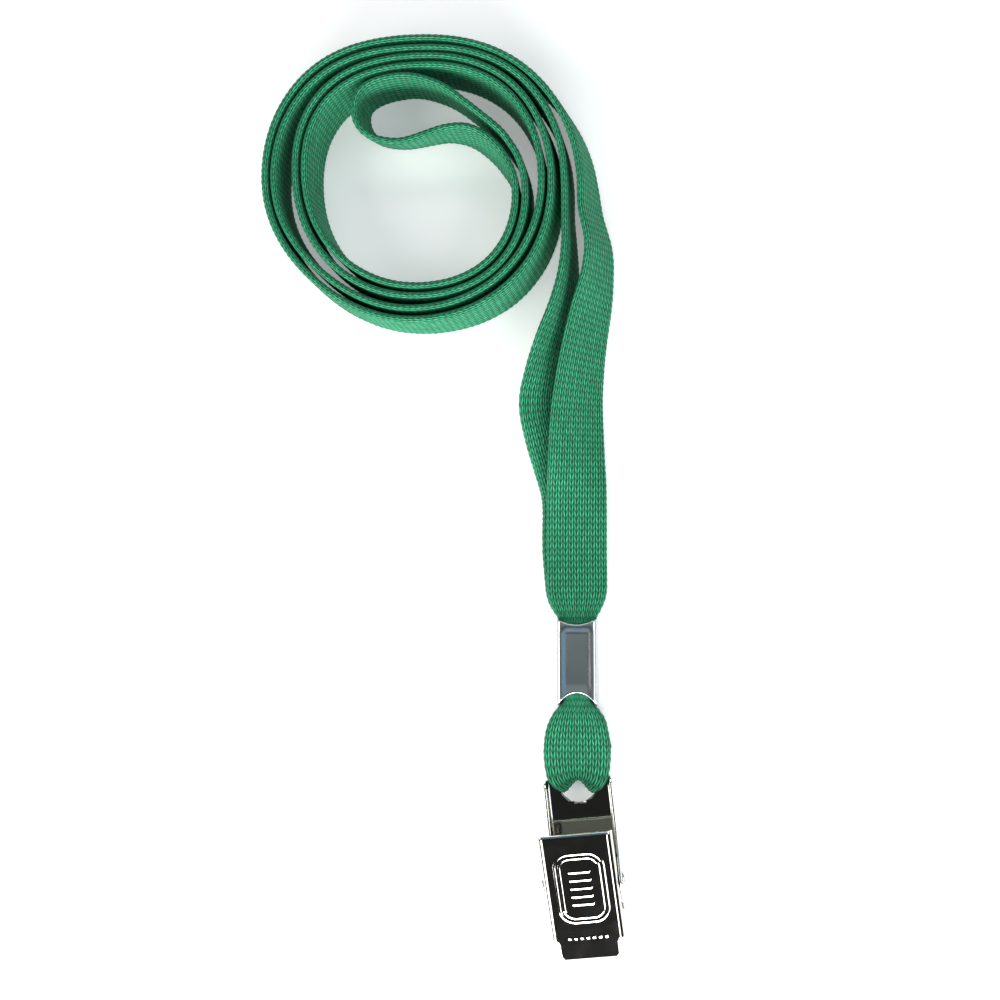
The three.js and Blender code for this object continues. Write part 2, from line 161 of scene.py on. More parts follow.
class Graph:
    """Adds and joins the nodes of one tree."""

    def __init__(self, tree: bpy.types.NodeTree) -> None:
        """Takes the tree to build in."""
        self.tree = tree

    def add(self, kind: str, **settings: object) -> bpy.types.Node:
        """A new node of a kind, with its plain settings made."""
        node = self.tree.nodes.new(kind)
        for key, value in settings.items():
            setattr(node, key, value)
        return node

    def put(self, value: object, socket: bpy.types.NodeSocket) -> None:
        """Joins a socket to another, or sets it to a plain value."""
        if isinstance(value, bpy.types.NodeSocket):
            self.tree.links.new(value, socket)
        else:
            socket.default_value = value

    def math(self, operation: str, *values: object, clamped: bool = False) -> bpy.types.NodeSocket:
        """The result of a Math node on up to three values or sockets."""
        node = self.add("ShaderNodeMath", operation=operation, use_clamp=clamped)
        for socket, value in zip(node.inputs, values):
            self.put(value, socket)
        return node.outputs[0]

    def blend(
        self, share: object, first: object, second: object, mode: str = "MIX"
    ) -> bpy.types.NodeSocket:
        """The result of a colour Mix node."""
        node = self.add("ShaderNodeMix", data_type="RGBA", blend_type=mode)
        self.put(share, node.inputs["Factor"])
        self.put(first, node.inputs[6])
        self.put(second, node.inputs[7])
        return node.outputs[2]

    def span(
        self, value: object, low: float, high: float, to_low: float = 0.0, to_high: float = 1.0
    ) -> bpy.types.NodeSocket:
        """A value carried smoothly from one range to another."""
        node = self.add("ShaderNodeMapRange", interpolation_type="SMOOTHSTEP")
        for socket, item in zip(node.inputs, (value, low, high, to_low, to_high)):
            self.put(item, socket)
        return node.outputs[0]

    def noise(self, vector: object, scale: float, detail: float = 2.0) -> bpy.types.NodeSocket:
        """The value of a Noise Texture."""
        node = self.add("ShaderNodeTexNoise")
        self.put(vector, node.inputs["Vector"])
        node.inputs["Scale"].default_value = scale
        node.inputs["Detail"].default_value = detail
        return node.outputs["Fac"]


def shader_group(
    name: str, inputs: Sequence[tuple], outputs: Sequence[tuple]
) -> tuple[bpy.types.NodeTree, Graph, bpy.types.Node, bpy.types.Node]:
    """An empty shader node group with its sockets.

    Args:
        name: name of the group.
        inputs: name, socket kind and starting value of each input; None leaves the value alone.
        outputs: name and socket kind of each output.

    Returns:
        The tree, its graph, its input node and its output node.
    """
    tree = bpy.data.node_groups.new(name, "ShaderNodeTree")
    for label, kind, value in inputs:
        socket = tree.interface.new_socket(label, in_out="INPUT", socket_type=kind)
        if value is not None:
            socket.default_value = value
    for label, kind in outputs:
        tree.interface.new_socket(label, in_out="OUTPUT", socket_type=kind)
    graph = Graph(tree)
    return tree, graph, graph.add("NodeGroupInput"), graph.add("NodeGroupOutput")


def swell(g: Graph, place: bpy.types.NodeSocket, sharpness: float) -> bpy.types.NodeSocket:
    """A hump that is 1 in the middle of a cell and 0 at both ends.

    Args:
        g: the tree being built.
        place: position in the cell, from 0 to 1.
        sharpness: power of the fall; larger is flatter on top.

    Returns:
        The height of the hump.
    """
    centred = g.math("SUBTRACT", g.math("MULTIPLY", place, 2.0), 1.0)
    return g.math("SUBTRACT", 1.0, g.math("POWER", g.math("ABSOLUTE", centred), sharpness))


def knit_stitch_group() -> bpy.types.NodeTree:
    """Plain knit stitches on a chart of wales and courses, built once.

    Returns:
        A group that turns the chart into stitch height, a mask clear of the painted pit shade, a mask of
        the painted crown highlight and an uneven tone.
    """
    name = "knit_stitch"
    if name in bpy.data.node_groups:
        return bpy.data.node_groups[name]
    number = "NodeSocketFloat"
    tree, g, start, end = shader_group(
        name,
        [("Chart", "NodeSocketVector", None), ("Slant", number, 0.9), ("Gap", number, 0.5)],
        [("Height", number), ("Cover", number), ("Crown", number), ("Tone", number)],
    )
    split = g.add("ShaderNodeSeparateXYZ")
    g.put(start.outputs["Chart"], split.inputs[0])
    wale, course = split.outputs[0], split.outputs[1]
    wobble = g.noise(start.outputs["Chart"], 0.9)
    off_centre = g.math("ABSOLUTE", g.math("SUBTRACT", g.math("FRACT", wale), 0.5))
    across = g.math("MULTIPLY", off_centre, 2.0)
    lean = g.math("MULTIPLY", across, start.outputs["Slant"])
    along = g.math("FRACT", g.math("ADD", g.math("ADD", course, lean), g.math("MULTIPLY", wobble, 0.2)))
    leg = swell(g, across, 2.4)
    turn = swell(g, along, 2.6)
    depth = g.span(across, 0.25, 0.75, 1.0, 0.45)
    break_in = g.math("MULTIPLY", g.math("SUBTRACT", 1.0, g.math("POWER", turn, 0.5)), depth)
    body = g.math("MULTIPLY", g.math("POWER", leg, 0.6), g.math("SUBTRACT", 1.0, break_in))
    # Painted shade mask: 0 where the stitch body sinks into a pit, which then takes the near-black pit
    # colour, and 1 on the yarn.
    unshaded = g.span(body, 0.1, start.outputs["Gap"])
    # Painted highlight mask: 1 on the raised tops of the stitch legs.
    crown = g.span(body, 0.62, 1.0)
    cell = g.add("ShaderNodeTexWhiteNoise", noise_dimensions="2D")
    corner = g.add("ShaderNodeCombineXYZ")
    g.put(g.math("FLOOR", g.math("MULTIPLY", wale, 2.0)), corner.inputs[0])
    g.put(g.math("FLOOR", g.math("ADD", course, lean)), corner.inputs[1])
    g.put(corner.outputs[0], cell.inputs["Vector"])
    strand = g.add("ShaderNodeCombineXYZ")
    g.put(g.math("MULTIPLY", wale, 9.0), strand.inputs[0])
    g.put(g.math("MULTIPLY", course, 2.2), strand.inputs[1])
    fibre = g.noise(strand.outputs[0], 1.7, 3.0)
    tone = g.math("ADD", g.math("MULTIPLY", cell.outputs["Value"], 0.5), g.math("MULTIPLY", fibre, 0.5))
    height = g.math("ADD", body, g.math("MULTIPLY", fibre, 0.12))
    for label, socket in (("Height", height), ("Cover", unshaded), ("Crown", crown), ("Tone", tone)):
        g.put(socket, end.inputs[label])
    return tree


def plating_grain_and_rim_highlight_group() -> bpy.types.NodeTree:
    """Fine grain, smears and a painted highlight on the rims of nickel plate, built once.

    Returns:
        A group that gives a tint, a roughness and a grain height from place and rim.
    """
    name = "plating_wear"
    if name in bpy.data.node_groups:
        return bpy.data.node_groups[name]
    number, colour = "NodeSocketFloat", "NodeSocketColor"
    tree, g, start, end = shader_group(
        name,
        [
            ("Place", "NodeSocketVector", None), ("Rim", number, 0.0),
            ("Plate", colour, None), ("Worn", colour, None),
            ("Polish", number, 0.1), ("Smear", number, 0.1),
        ],
        [("Tint", colour), ("Roughness", number), ("Grain", number)],
    )
    stretch = g.add("ShaderNodeMapping")
    stretch.inputs["Scale"].default_value = (9000.0, 900.0, 900.0)
    g.put(start.outputs["Place"], stretch.inputs["Vector"])
    grain = g.noise(stretch.outputs[0], 1.0, 3.0)
    smear = g.noise(start.outputs["Place"], 420.0, 4.0)
    patch = g.span(smear, 0.42, 0.72)
    patchy = g.span(g.noise(start.outputs["Place"], 1500.0), 0.3, 0.6, 0.55, 1.0)
    # Painted highlight: a patchy share of each rim is lightened towards the highlight colour and made
    # rougher.
    rim_highlight = g.math("MULTIPLY", g.span(start.outputs["Rim"], 0.25, 0.9), patchy)
    g.put(g.blend(rim_highlight, start.outputs["Plate"], start.outputs["Worn"]), end.inputs["Tint"])
    rough = g.math("ADD", start.outputs["Polish"], g.math("MULTIPLY", patch, start.outputs["Smear"]))
    g.put(g.math("ADD", rough, g.math("MULTIPLY", rim_highlight, 0.12)), end.inputs["Roughness"])
    g.put(grain, end.inputs["Grain"])
    return tree


# --- finishes ------------------------------------------------------------


def blank_material(name: str) -> tuple[bpy.types.Material, Graph, bpy.types.Node]:
    """A node material with its Principled shader found."""
    material = bpy.data.materials.new(name)
    material.use_nodes = True
    return material, Graph(material.node_tree), material.node_tree.nodes["Principled BSDF"]


@dataclass(frozen=True)
class KnitFinish:
    """Matt polyester yarn in plain knit, charted on the webbing's own map, with painted shade in the
    stitch pits and a painted highlight on the stitch crowns.
    """

    name: str = "knit_webbing"
    yarn: tuple = (0.0085, 0.098, 0.042, 1.0)
    # Lighter colour painted on the stitch crowns as a highlight.
    crown: tuple = (0.052, 0.420, 0.220, 1.0)
    # Near-black colour painted into the stitch pits as shade.
    pit_shade: tuple = (0.001, 0.012, 0.006, 1.0)
    dull: tuple = (0.8, 0.83, 0.8, 1.0)
    lively: tuple = (1.2, 1.14, 1.15, 1.0)
    relief: float = 0.16 * MM

    def material(self) -> bpy.types.Material:
        """The finish as a material."""
        material, g, shader = blank_material(self.name)
        chart = g.add("ShaderNodeUVMap", uv_map="Knit")
        stitch = g.add("ShaderNodeGroup", node_tree=knit_stitch_group())
        g.put(chart.outputs[0], stitch.inputs["Chart"])
        tone = g.blend(g.span(stitch.outputs["Tone"], 0.2, 0.9), self.dull, self.lively)
        # The yarn is lightened towards the crown colour as a painted highlight on the raised legs.
        yarn = g.blend(g.math("MULTIPLY", stitch.outputs["Crown"], 0.9), self.yarn, self.crown)
        toned_yarn = g.blend(1.0, yarn, tone, "MULTIPLY")
        # The pits between stitches take the near-black colour as painted shade.
        g.put(g.blend(stitch.outputs["Cover"], self.pit_shade, toned_yarn), shader.inputs["Base Color"])
        shader.inputs["Roughness"].default_value = 0.62
        shader.inputs["Specular IOR Level"].default_value = 0.16
        shader.inputs["Sheen Weight"].default_value = 0.07
        shader.inputs["Sheen Roughness"].default_value = 0.45
        shader.inputs["Sheen Tint"].default_value = (0.25, 0.95, 0.6, 1.0)
        bump = g.add("ShaderNodeBump")
        bump.inputs["Strength"].default_value = 0.9
        bump.inputs["Distance"].default_value = self.relief
        g.put(stitch.outputs["Height"], bump.inputs["Height"])
        g.put(bump.outputs[0], shader.inputs["Normal"])
        return material


class Polish(Enum):
    """How bright a metal surface is."""

    MIRROR = 0.05
    SATIN = 0.24
    DRAWN = 0.3


@dataclass(frozen=True)
class NickelFinish:
    """Nickel plate over steel, its rims lightened by a painted highlight and made rougher."""

    name: str
    polish: Polish
    # Lighter colour painted on the rims as a highlight.
    plate: tuple
    rim_highlight: tuple
    smear: float = 0.02
    grain: float = 0.004 * MM

    def material(self) -> bpy.types.Material:
        """The finish as a material."""
        material, g, shader = blank_material(self.name)
        place = g.add("ShaderNodeTexCoord")
        rim = g.add("ShaderNodeAttribute", attribute_name="rim")
        wear = g.add("ShaderNodeGroup", node_tree=plating_grain_and_rim_highlight_group())
        g.put(place.outputs["Object"], wear.inputs["Place"])
        g.put(rim.outputs["Fac"], wear.inputs["Rim"])
        g.put(self.plate, wear.inputs["Plate"])
        g.put(self.rim_highlight, wear.inputs["Worn"])
        g.put(self.polish.value, wear.inputs["Polish"])
        g.put(self.smear, wear.inputs["Smear"])
        shader.inputs["Metallic"].default_value = 1.0
        g.put(wear.outputs["Tint"], shader.inputs["Base Color"])
        g.put(wear.outputs["Roughness"], shader.inputs["Roughness"])
        bump = g.add("ShaderNodeBump")
        bump.inputs["Strength"].default_value = 0.15
        bump.inputs["Distance"].default_value = self.grain
        g.put(wear.outputs["Grain"], bump.inputs["Height"])
        g.put(bump.outputs[0], shader.inputs["Normal"])
        return material


MIRROR_PLATE = NickelFinish(
    "nickel_sheet", Polish.MIRROR, plate=(0.66, 0.64, 0.60, 1.0), rim_highlight=(0.92, 0.89, 0.82, 1.0)
)
# The crimp's plate colour leans blue as a painted reflection of the cool light on its right.
SATIN_PLATE = NickelFinish(
    "nickel_crimp", Polish.SATIN, plate=(0.60, 0.63, 0.65, 1.0), rim_highlight=(0.9, 0.9, 0.92, 1.0)
)
DRAWN_WIRE = NickelFinish(
    "spring_wire", Polish.DRAWN, plate=(0.5, 0.5, 0.5, 1.0), rim_highlight=(0.6, 0.6, 0.6, 1.0)
)


@dataclass(frozen=True)
class PaperFinish:
    """Pale sheet with a faint tooth, lit from below like a light table."""

    name: str = "table_paper"
    colour: tuple = (0.86, 0.86, 0.86, 1.0)
    glow: float = 0.3

    def material(self) -> bpy.types.Material:
        """The finish as a material."""
        material, g, shader = blank_material(self.name)
        place = g.add("ShaderNodeTexCoord")
        tooth = g.noise(place.outputs["Object"], 900.0)
        shade = tuple(0.985 * c for c in self.colour[:3]) + (1.0,)
        g.put(g.blend(tooth, shade, self.colour), shader.inputs["Base Color"])
        shader.inputs["Roughness"].default_value = 0.9
        shader.inputs["Specular IOR Level"].default_value = 0.1
        shader.inputs["Emission Color"].default_value = (1.0, 1.0, 1.0, 1.0)
        shader.inputs["Emission Strength"].default_value = self.glow
        return material


# --- webbing -------------------------------------------------------------


@dataclass
class Station:
    """One cross-section of the webbing, its edges lagging clipwards, in the maker's millimetres."""

    centre: Vector
    across: Vector
    width: float
    thick: float
    lag: float = 0.0


@dataclass(frozen=True)
class Webbing:
    """Flat tube of plain knit: stitch counts, and how its surface stands up."""

    wales: int = 24
    course: float = 1.0
    points_per_wale: int = 2
    rows_per_course: int = 2
    rib_depth: float = 0.05
    course_depth: float = 0.035
    unevenness: float = 0.05
    seed: float = 3.0

    def section(self, width: float, thick: float, wale: float) -> tuple[float, float]:
        """Point on the flat tube's outline.

        Args:
            width: width of the flat tube.
            thick: thickness of the flat tube.
            wale: place round the tube, in wales from the middle of its first edge.

        Returns:
            The distance across and the distance from the middle layer.
        """
        r = thick / 2
        flat = width - thick
        run = 2 * flat + 2 * math.pi * r
        s = (wale / self.wales % 1.0) * run
        quarter = math.pi * r / 2
        if s < quarter or s > run - quarter:
            a = (s if s < quarter else s - run) / r
            return flat / 2 + r * math.cos(a), r * math.sin(a)
        s -= quarter
        if s < flat:
            return flat / 2 - s, r
        s -= flat
        if s < 2 * quarter:
            a = s / r + math.pi / 2
            return -flat / 2 + r * math.cos(a), r * math.sin(a)
        s -= 2 * quarter
        return -flat / 2 + s, -r

    def place(self, station: Station, along: Vector, a: float, b: float) -> Vector:
        """Where a point of the section stands.

        Args:
            station: the cross-section.
            along: direction of the webbing there.
            a: distance across.
            b: distance from the middle layer.

        Returns:
            The point, in the maker's millimetres.
        """
        half = station.width / 2
        u = a / half
        share = 0.35 * u * u + 0.325 * (1 - math.cos(math.pi * u))
        slope = 0.7 * u + 0.325 * math.pi * math.sin(math.pi * u)
        edge_line = station.across * half + CLIPWARD * (station.lag * slope)
        normal = along.cross(edge_line).normalized()
        return station.centre + station.across * a + CLIPWARD * (station.lag * share) + normal * b

    def tube(self, name: str, stations: Sequence[Station]) -> bpy.types.Object:
        """The webbing's closed skin through its stations, with its stitch chart.

        Args:
            name: name of the object.
            stations: cross-sections, half a course apart.

        Returns:
            The object, with wale and course attributes for the relief and a UV map called Knit.
        """
        count = self.wales * self.points_per_wale
        points, wale_of, course_of = [], [], []
        last = len(stations) - 1
        for i, station in enumerate(stations):
            along = (stations[min(i + 1, last)].centre - stations[max(i - 1, 0)].centre).normalized()
            for k in range(count):
                wale = k / self.points_per_wale
                a, b = self.section(station.width, station.thick, wale)
                points.append(self.place(station, along, a, b))
                wale_of.append(wale)
                course_of.append(i / self.rows_per_course)
        faces, chart = [], []
        for i in range(last):
            for k in range(count):
                j = (k + 1) % count
                faces.append((i * count + k, i * count + j, (i + 1) * count + j, (i + 1) * count + k))
                u0, u1 = k / self.points_per_wale + 0.5, (k + 1) / self.points_per_wale + 0.5
                v0, v1 = i / self.rows_per_course, (i + 1) / self.rows_per_course
                chart += [(u0, v0), (u1, v0), (u1, v1), (u0, v1)]
        for i, order in ((0, -1), (last, 1)):
            ring = [i * count + k for k in range(count)][::order]
            faces.append(tuple(ring))
            chart += [(v % count / self.points_per_wale, 0.0) for v in ring]
        obj = new_object(name, metres(points), faces)
        layer = obj.data.uv_layers.new(name="Knit")
        layer.data.foreach_set("uv", [c for uv in chart for c in uv])
        for label, values in (("wale", wale_of), ("course", course_of)):
            obj.data.attributes.new(label, "FLOAT", "POINT").data.foreach_set("value", values)
        return obj

    def relief_tree(self) -> bpy.types.NodeTree:
        """Nodes that raise ribs along the wales and a swell at each course."""
        name = "knit_relief"
        if name in bpy.data.node_groups:
            return bpy.data.node_groups[name]
        tree = bpy.data.node_groups.new(name, "GeometryNodeTree")
        face = tree.interface
        face.new_socket("Webbing", in_out="INPUT", socket_type="NodeSocketGeometry")
        for label in ("Rib Depth", "Course Depth", "Unevenness", "Seed"):
            face.new_socket(label, in_out="INPUT", socket_type="NodeSocketFloat")
        face.new_socket("Finish", in_out="INPUT", socket_type="NodeSocketMaterial")
        face.new_socket("Webbing", in_out="OUTPUT", socket_type="NodeSocketGeometry")
        g = Graph(tree)
        start, end = g.add("NodeGroupInput"), g.add("NodeGroupOutput")
        charted = {}
        for label in ("wale", "course"):
            read = g.add("GeometryNodeInputNamedAttribute", data_type="FLOAT")
            read.inputs["Name"].default_value = label
            charted[label] = read.outputs["Attribute"]
        turn = 2 * math.pi
        rib = g.math("COSINE", g.math("MULTIPLY", charted["wale"], turn))
        hump = g.math("COSINE", g.math("MULTIPLY", charted["course"], turn))
        place = g.add("GeometryNodeInputPosition")
        uneven = g.add("ShaderNodeTexNoise", noise_dimensions="4D")
        g.put(place.outputs[0], uneven.inputs["Vector"])
        g.put(start.outputs["Seed"], uneven.inputs["W"])
        uneven.inputs["Scale"].default_value = 260.0
        depth = g.math("MULTIPLY", g.math("SUBTRACT", rib, 1.0), start.outputs["Rib Depth"])
        dip = g.math("MULTIPLY", g.math("ADD", hump, 1.0), start.outputs["Course Depth"])
        depth = g.math("SUBTRACT", depth, dip)
        off_even = g.math("SUBTRACT", uneven.outputs["Fac"], 0.5)
        ripple = g.math("MULTIPLY", off_even, start.outputs["Unevenness"])
        normal = g.add("GeometryNodeInputNormal")
        offset = g.add("ShaderNodeVectorMath", operation="SCALE")
        g.put(normal.outputs[0], offset.inputs[0])
        g.put(g.math("ADD", depth, ripple), offset.inputs["Scale"])
        shift = g.add("GeometryNodeSetPosition")
        g.put(start.outputs["Webbing"], shift.inputs["Geometry"])
        g.put(offset.outputs[0], shift.inputs["Offset"])
        real = g.add("GeometryNodeRealizeInstances")
        g.put(shift.outputs[0], real.inputs[0])
        dress = g.add("GeometryNodeSetMaterial")
        g.put(real.outputs[0], dress.inputs["Geometry"])
        g.put(start.outputs["Finish"], dress.inputs["Material"])
        g.put(dress.outputs[0], end.inputs[0])
        return tree

    def knitted(self, obj: bpy.types.Object, finish: bpy.types.Material) -> bpy.types.Object:
        """The skin with its relief made real and its finish on."""
        values = {
            "Rib Depth": self.rib_depth * MM, "Course Depth": self.course_depth * MM,
            "Unevenness": self.unevenness * MM, "Seed": self.seed, "Finish": finish,
        }
        return made_real(obj, self.relief_tree(), values)


def made_real(
    obj: bpy.types.Object, tree: bpy.types.NodeTree, values: dict[str, object]
) -> bpy.types.Object:
    """Runs a node tree on an object and keeps the result as a plain mesh.

    Args:
        obj: the object that the tree starts from; it is used up.
        tree: the geometry node tree.
        values: the tree's inputs by name.

    Returns:
        A new object with the same name, at the origin, with no modifier.
    """
    modifier = obj.modifiers.new("shape", "NODES")
    modifier.node_group = tree
    for item in tree.interface.items_tree:
        if item.in_out == "INPUT" and item.name in values:
            modifier[item.identifier] = values[item.name]
    bpy.context.view_layer.update()
    depsgraph = bpy.context.evaluated_depsgraph_get()
    mesh = bpy.data.meshes.new_from_object(
        obj.evaluated_get(depsgraph), preserve_all_data_layers=True, depsgraph=depsgraph
    )
    name = obj.name
    bpy.data.objects.remove(obj)
    mesh.name = name
    mesh.polygons.foreach_set("use_smooth", [True] * len(mesh.polygons))
    made = bpy.data.objects.new(name, mesh)
    bpy.context.scene.collection.objects.link(made)
    return made


@dataclass
class NeckStrap:
    """The long webbing: two strands from the crimp, coiled side by side round to their fold."""

    webbing: Webbing
    width: float = 9.6
    thick: float = 1.2
    pinched_width: float = 5.7
    pinched_thick: float = 0.9
    coil_centre: tuple = (-4.0, 48.7)
    coil_height: float = 4.85
    coil_step: int = 9
    pinch_start: float = -15.5
    pinch_end: float = -21.0
    left_radii: tuple = (
        24.3, 23.7, 22.1, 24.1, 23.0, 20.7, 20.7, 21.2, 20.5,
        20.3, 19.2, 20.0, 17.6, 16.8, 17.1, 18.0, 15.9,
    )
    right_radii: tuple = (
        27.5, 25.4, 23.7, 25.7, 24.5, 22.4, 22.5, 23.3, 22.4,
        22.1, 20.7, 21.8, 19.4, 18.6, 18.7, 19.6, 17.7,
    )
    left_lean: tuple = (3, 0, 0, 0, 0, 0, 0, 2, 0, -3, 0, -3, -3, -1, 0, 0, -3)
    right_lean: tuple = (13, 4, 0, 0, 0, 0, 0, 4, 5, 2, 0, 0, 0, 0, 0, 0, 0)
    fold: tuple = (
        (10.9, 51.0, -4), (9.3, 53.4, -5), (7.0, 55.7, -4), (4.2, 57.3, 0), (0.7, 57.7, 7),
        (-2.6, 57.1, 11),
        (-6.3, 56.4, 14), (-9.9, 56.9, 13), (-12.4, 58.4, 9), (-13.6, 60.8, 4), (-13.3, 63.6, 0),
        (-11.1, 65.3, 1), (-7.6, 66.1, 1), (-4.1, 66.0, 0), (0.3, 64.4, -1), (3.6, 62.1, -3),
        (7.3, 58.9, -2), (10.2, 56.0, 0), (12.4, 52.7, 0),
    )
    left_run: tuple = (
        (21.35, -30.5, 2.3, 90), (21.35, -21.4, 2.3, 90), (21.0, -16.5, 1.7, 90), (20.4, -10, 0.85, 90),
        (20.4, -2, 1.0, 86), (19.2, 3, 1.75, 78), (17.6, 8, 2.6, 68), (16.5, 13, 3.4, 57),
        (17.1, 18, 4.1, 45),
        (18.2, 23, 4.6, 33), (19.6, 28, 4.9, 22), (20.4, 33, 5.0, 12), (20.6, 38, 4.95, 6),
        (20.4, 43, 4.85, 3),
    )
    right_run: tuple = (
        (24.1, 43, 4.85, 18), (25.2, 38, 4.8, 21), (24.95, 33, 4.65, 26), (23.95, 28, 4.4, 36),
        (22.95, 23, 4.3, 41), (22.15, 18, 4.15, 47), (21.6, 13, 3.85, 54), (21.4, 8, 3.5, 62),
        (21.35, 3, 3.3, 70), (21.3, -2, 2.75, 84), (21.25, -10, 2.45, 90), (21.3, -16.5, 2.95, 90),
        (21.35, -21.4, 3.45, 90), (21.35, -25.6, 3.45, 90),
    )

    def run_rows(self, run: Sequence[tuple], side: int, steps: int = 3) -> list[tuple]:
        """Rows along a strand between coil and crimp, pinched towards the crimp."""
        rows = []
        for i in range((len(run) - 1) * steps + 1):
            x, y, z, tilt = (catmull([r[k] for r in run], i / steps) for k in range(4))
            squeeze = clamp((self.pinch_start - y) / (self.pinch_start - self.pinch_end)) ** 2.4
            width = lerp(self.width, self.pinched_width, squeeze)
            rows.append((x, y, z, tilt * side, width, lerp(self.thick, self.pinched_thick, squeeze)))
        return rows

    def coil_rows(self, radii: Sequence[float], lean: Sequence[float], side: int) -> list[tuple]:
        """Rows of one strand through its turns of the coil."""
        rows = []
        for angle in range(0, (len(radii) - 1) * 45 + 1, self.coil_step):
            r, a = catmull(radii, angle / 45), math.radians(angle)
            x, y = self.coil_centre[0] + r * math.cos(a), self.coil_centre[1] + r * math.sin(a)
            tilt = catmull(lean, angle / 45) * side
            rows.append((x, y, self.coil_height, tilt, self.width, self.thick))
        return rows

    def fold_rows(self) -> list[tuple]:
        """Rows through the fold that joins the strands inside the coil."""
        rows = []
        for i in range((len(self.fold) - 1) * 2 + 1):
            x, y, lean = (catmull([p[k] for p in self.fold], i / 2) for k in range(3))
            rows.append((x, y, self.coil_height, lean, self.width, self.thick))
        return rows

    def stations(self) -> list[Station]:
        """Cross-sections along the whole strap, half a course apart."""
        rows = np.array(
            self.run_rows(self.left_run, 1) + self.coil_rows(self.left_radii, self.left_lean, 1)
            + self.fold_rows() + self.coil_rows(self.right_radii, self.right_lean, -1)[::-1]
            + self.run_rows(self.right_run, -1)
        )
        return evenly(rows, self.webbing.course / self.webbing.rows_per_course, upright_across)

    def build(self, finish: bpy.types.Material) -> bpy.types.Object:
        """Knits the strap and sets it on its body."""
        stations = self.stations()
        strap = self.webbing.knitted(self.webbing.tube("neck_strap_knit", stations), finish)
        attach(strap, "strap")
        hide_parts("neck_strap")
        return strap


def upright_across(along: Vector, tilt: float) -> Vector:
    """Width direction of webbing on edge, leaned by an angle in degrees to the left of its way."""
    side = along.cross(UP).normalized()
    lean = math.radians(tilt)
    across = UP * math.cos(lean) - side * math.sin(lean)
    return (across - along * across.dot(along)).normalized()


def evenly(
    rows: np.ndarray, step: float, across_of: Callable[[Vector, float], Vector]
) -> list[Station]:
    """Cross-sections at even steps along rows of centre, tilt, width, thickness and any lag.

    Args:
        rows: the given sections, in order along the webbing.
        step: distance between the sections wanted.
        across_of: gives the width direction from the way and the tilt.

    Returns:
        The sections.
    """
    knots = np.concatenate([[0.0], np.cumsum(np.linalg.norm(np.diff(rows[:, :3], axis=0), axis=1))])
    fine = through(knots, rows, np.linspace(0, knots[-1], len(rows) * 24))
    length = np.concatenate([[0.0], np.cumsum(np.linalg.norm(np.diff(fine[:, :3], axis=0), axis=1))])
    wanted = np.arange(0, length[-1], step)
    even = np.array([np.interp(wanted, length, fine[:, k]) for k in range(rows.shape[1])]).T
    ways = np.gradient(even[:, :3], axis=0)
    found = []
    for row, way in zip(even, ways):
        lag = float(row[6]) if len(row) > 6 else 0.0
        across = across_of(Vector(way).normalized(), row[3])
        found.append(Station(Vector(row[:3]), across, row[4], row[5], lag))
    return found


# --- clip frame ----------------------------------------------------------


@dataclass(frozen=True)
class ClipFrame:
    """Where the clip lies: its pivot, how it is turned and tipped, and the lever's opening angle."""

    pivot: tuple = (22.35, -61.05, 0.85)
    yaw: float = 6.0
    pitch: float = 3.0
    pin_height: float = 2.7
    back_shift: float = 0.42
    lever_shift: float = -0.55
    lever_angle: float = 16.5

    def plate(self) -> Matrix:
        """Clip coordinates to the maker's frame."""
        yaw = Matrix.Rotation(math.radians(self.yaw), 4, "Z")
        pitch = Matrix.Rotation(math.radians(self.pitch), 4, "X")
        return Matrix.Translation(self.pivot) @ yaw @ pitch

    def back(self) -> Matrix:
        """Back plate coordinates to the maker's frame."""
        return self.plate() @ Matrix.Translation((self.back_shift, 0, 0))

    def lever(self) -> Matrix:
        """Lever coordinates to the maker's frame."""
        tip = Matrix.Rotation(math.radians(self.lever_angle), 4, "X")
        return self.plate() @ Matrix.Translation((self.lever_shift, 0, self.pin_height)) @ tip


